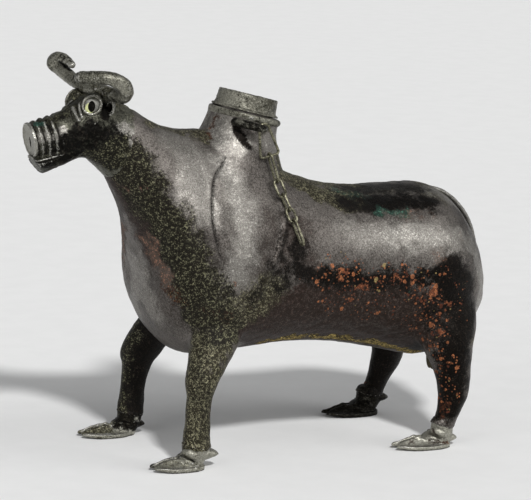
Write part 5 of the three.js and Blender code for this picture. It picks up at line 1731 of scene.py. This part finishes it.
@dataclass
class Rear:
    """The tail, which arches off the rump, and the scrotum below it."""

    trunk: Trunk
    rump_start: float = 100.0
    stations: tuple[tuple[float, float], ...] = (
        (80, -1.2), (66, 0.2), (59, 1.6), (50, 2.9), (39, 3.7), (28, 3.3), (18, 2.5), (8, 2.1), (-1, 2.0), (-12, 1.1),
        (-36, 0.4))
    half_width: float = 4.0
    half_depth: float = 1.7

    def profile(self, angle: float) -> Vector:
        """The rump's outline in the middle plane, an angle above its rearmost point."""
        trunk = self.trunk
        half = (trunk.back - trunk.loin) / 2
        shrink = abs(math.sin(angle))
        above = shrink * (half - trunk.rump_slope * math.cos(angle) ** 2)
        below = half * shrink ** (1 - trunk.rump_fullness)
        return Vector((self.rump_start + trunk.rump_depth * math.cos(angle), 0,
                       (trunk.back + trunk.loin) / 2 + (above if angle > 0 else -below)))

    def tail(self) -> bpy.types.Object:
        """The tail: a flat strip with a groove along it."""
        route = []
        for degrees, stand_off in self.stations:
            angle = math.radians(degrees)
            along = (self.profile(angle - 0.01) - self.profile(angle + 0.01)).normalized()
            route.append(tuple(self.profile(angle) + Vector((-along.z, 0, along.x)) * -stand_off
                               if along.x < 0 else self.profile(angle) + Vector((-along.z, 0, along.x)) * stand_off))
        steps = 110
        middle = [Vector(spline(route, i / steps)) for i in range(steps + 1)]
        rings = []
        for i, point in enumerate(middle):
            ahead = (middle[min(i + 1, steps)] - middle[max(i - 1, 0)]).normalized()
            off = Vector((-ahead.z, 0, ahead.x))
            taper = min(1.0, 0.35 + 6 * min(i, steps - i) / steps)
            rings.append(oval(point, ACROSS, off, self.half_width * taper, self.half_depth * taper, 28))
        tail = loft("tail_piece", rings)
        clay = Clay(tail)
        clay.rise -= 0.45 * bell(clay.own[:, 1], 0.7)
        clay.rise += 0.1 * ripple(clay.own, 6, 1.0) + 0.05 * ripple(clay.own, 2.6, 3.0)
        clay.press()
        return dressed(tail, TAIL_FINISH, "tail")

    def scrotum(self) -> bpy.types.Object:
        """Two lobes side by side."""
        root = (self.rump_start + 21.4, 0, self.trunk.loin - 4)
        lobes = [lump("lobe", (root[0], s * 1.7, root[2]), (3.1, 2.3, 8.6), 32) for s in (-1, 1)]
        pair = run_together("scrotum_piece", lobes, 0.5, 2)
        return dressed(pair, SHADE_FINISH, "scrotum")

    def build(self) -> list[bpy.types.Object]:
        """Builds the tail and the scrotum."""
        pieces = [self.tail(), self.scrotum()]
        for piece in pieces:
            only(piece)
            bpy.ops.object.shade_smooth()
        return pieces


@dataclass
class Chain:
    """The wire links, each rounded from the frame's own link."""

    swell: float = 0.09

    def build(self) -> list[bpy.types.Object]:
        """Builds every link on its own body."""
        pieces = []
        for name in sorted(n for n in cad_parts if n.startswith("chain_link_")):
            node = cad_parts[name]
            link = bpy.data.objects.new(f"{name}_wire", node.data.copy())
            bpy.context.collection.objects.link(link)
            only(link)
            bpy.ops.object.mode_set(mode="EDIT")
            bpy.ops.mesh.select_all(action="SELECT")
            bpy.ops.mesh.remove_doubles(threshold=1e-6)
            bpy.ops.mesh.normals_make_consistent(inside=False)
            bpy.ops.object.mode_set(mode="OBJECT")
            modify(link, "SUBSURF", levels=2, render_levels=2)
            clay = Clay(link)
            clay.rise += self.swell + 0.03 * ripple(clay.own, 3, 1.0)
            clay.press()
            only(link)
            bpy.ops.object.shade_smooth()
            pieces.append(dressed(link, WIRE_FINISH, name, body=name.replace("chain_", "")))
        return pieces


# Studio


@dataclass
class Studio:
    """The floor, the lights and the camera at the photograph's angle."""

    azimuth: float = math.radians(28)
    elevation: float = math.radians(10)
    roll: float = math.radians(2)
    distance: float = 1.986
    focal: float = 36.0 * 3164.0 / 531.0
    target: Point = (-3.7, 0.0, 121.8)

    def floor(self) -> None:
        """A pale matt floor with a faint grain, which keeps the vessel's shadow."""
        only()
        bpy.ops.mesh.primitive_plane_add(size=12.0, location=(0, 0, 0))
        floor = bpy.context.active_object
        floor.name = "floor"
        settle(floor)
        shader = Shader("pale floor")
        grain = shader.noise(40.0, 3.0)
        colour = shader.mix(grain.ramp(0.3, 0.7), (0.79, 0.79, 0.785), (0.81, 0.81, 0.805))
        surface = shader.output("ShaderNodeBsdfPrincipled", {}, {"Base Color": colour, "Roughness": 0.9})
        shader.node("ShaderNodeOutputMaterial", {}, {"Surface": surface})
        floor.data.materials.append(shader.material)

    def world(self) -> None:
        """Soft grey light all round, and a grey backdrop of the floor's own tone."""
        world = bpy.data.worlds.new("studio")
        world.use_nodes = True
        bpy.context.scene.world = world
        tree = world.node_tree
        back = tree.nodes["Background"]
        back.inputs["Color"].default_value = (0.86, 0.87, 0.88, 1.0)
        path = tree.nodes.new("ShaderNodeLightPath")
        level = tree.nodes.new("ShaderNodeMapRange")
        level.inputs["To Min"].default_value = 0.30
        level.inputs["To Max"].default_value = 0.8
        tree.links.new(path.outputs["Is Camera Ray"], level.inputs["Value"])
        tree.links.new(level.outputs[0], back.inputs["Strength"])

    def lamps(self) -> None:
        """A key square to the flank, a broad lamp from the right and a weak fill from the left."""
        for name, way, angle, strength in (("key", (-0.12, -0.72, 0.68), 6, 2.5), ("side", (0.75, -0.5, 0.5), 40, 0.9),
                                           ("fill", (-0.85, -0.4, 0.3), 40, 0.5)):
            data = bpy.data.lights.new(name, "SUN")
            data.angle = math.radians(angle)
            data.energy = strength
            lamp = bpy.data.objects.new(name, data)
            bpy.context.scene.collection.objects.link(lamp)
            lamp.rotation_euler = Vector(way).to_track_quat("Z", "Y").to_euler()

    def camera(self) -> None:
        """The camera, which looks at the bull's left front."""
        level = math.cos(self.elevation)
        back = Vector((-math.sin(self.azimuth) * level, -math.cos(self.azimuth) * level, math.sin(self.elevation)))
        flat = Vector((math.cos(self.azimuth), -math.sin(self.azimuth), 0))
        upright = back.cross(flat)
        right = flat * math.cos(self.roll) + upright * math.sin(self.roll)
        up = upright * math.cos(self.roll) - flat * math.sin(self.roll)
        data = bpy.data.cameras.new("camera")
        data.sensor_width = 36.0
        data.lens = self.focal
        data.clip_end = 50.0
        camera = bpy.data.objects.new("camera", data)
        bpy.context.scene.collection.objects.link(camera)
        spot = place(*self.target) + back * self.distance
        camera.matrix_world = Matrix(((right.x, up.x, back.x, spot.x), (right.y, up.y, back.y, spot.y),
                                      (right.z, up.z, back.z, spot.z), (0, 0, 0, 1)))
        bpy.context.scene.camera = camera

    def build(self) -> None:
        """Sets the whole studio."""
        bpy.context.scene.view_settings.view_transform = "Standard"
        self.floor()
        self.world()
        self.lamps()
        self.camera()


def main() -> None:
    """Builds every sub-assembly in order."""
    logging.basicConfig(level=logging.INFO)
    trunk = Trunk()
    trunk.build()
    Head().build()
    Horns().build()
    Collar(trunk).build()
    for stance in STANCES:
        Foot(stance).build()
    Rear(trunk).build()
    Chain().build()
    Studio().build()


if __name__ == "__main__":
    main()
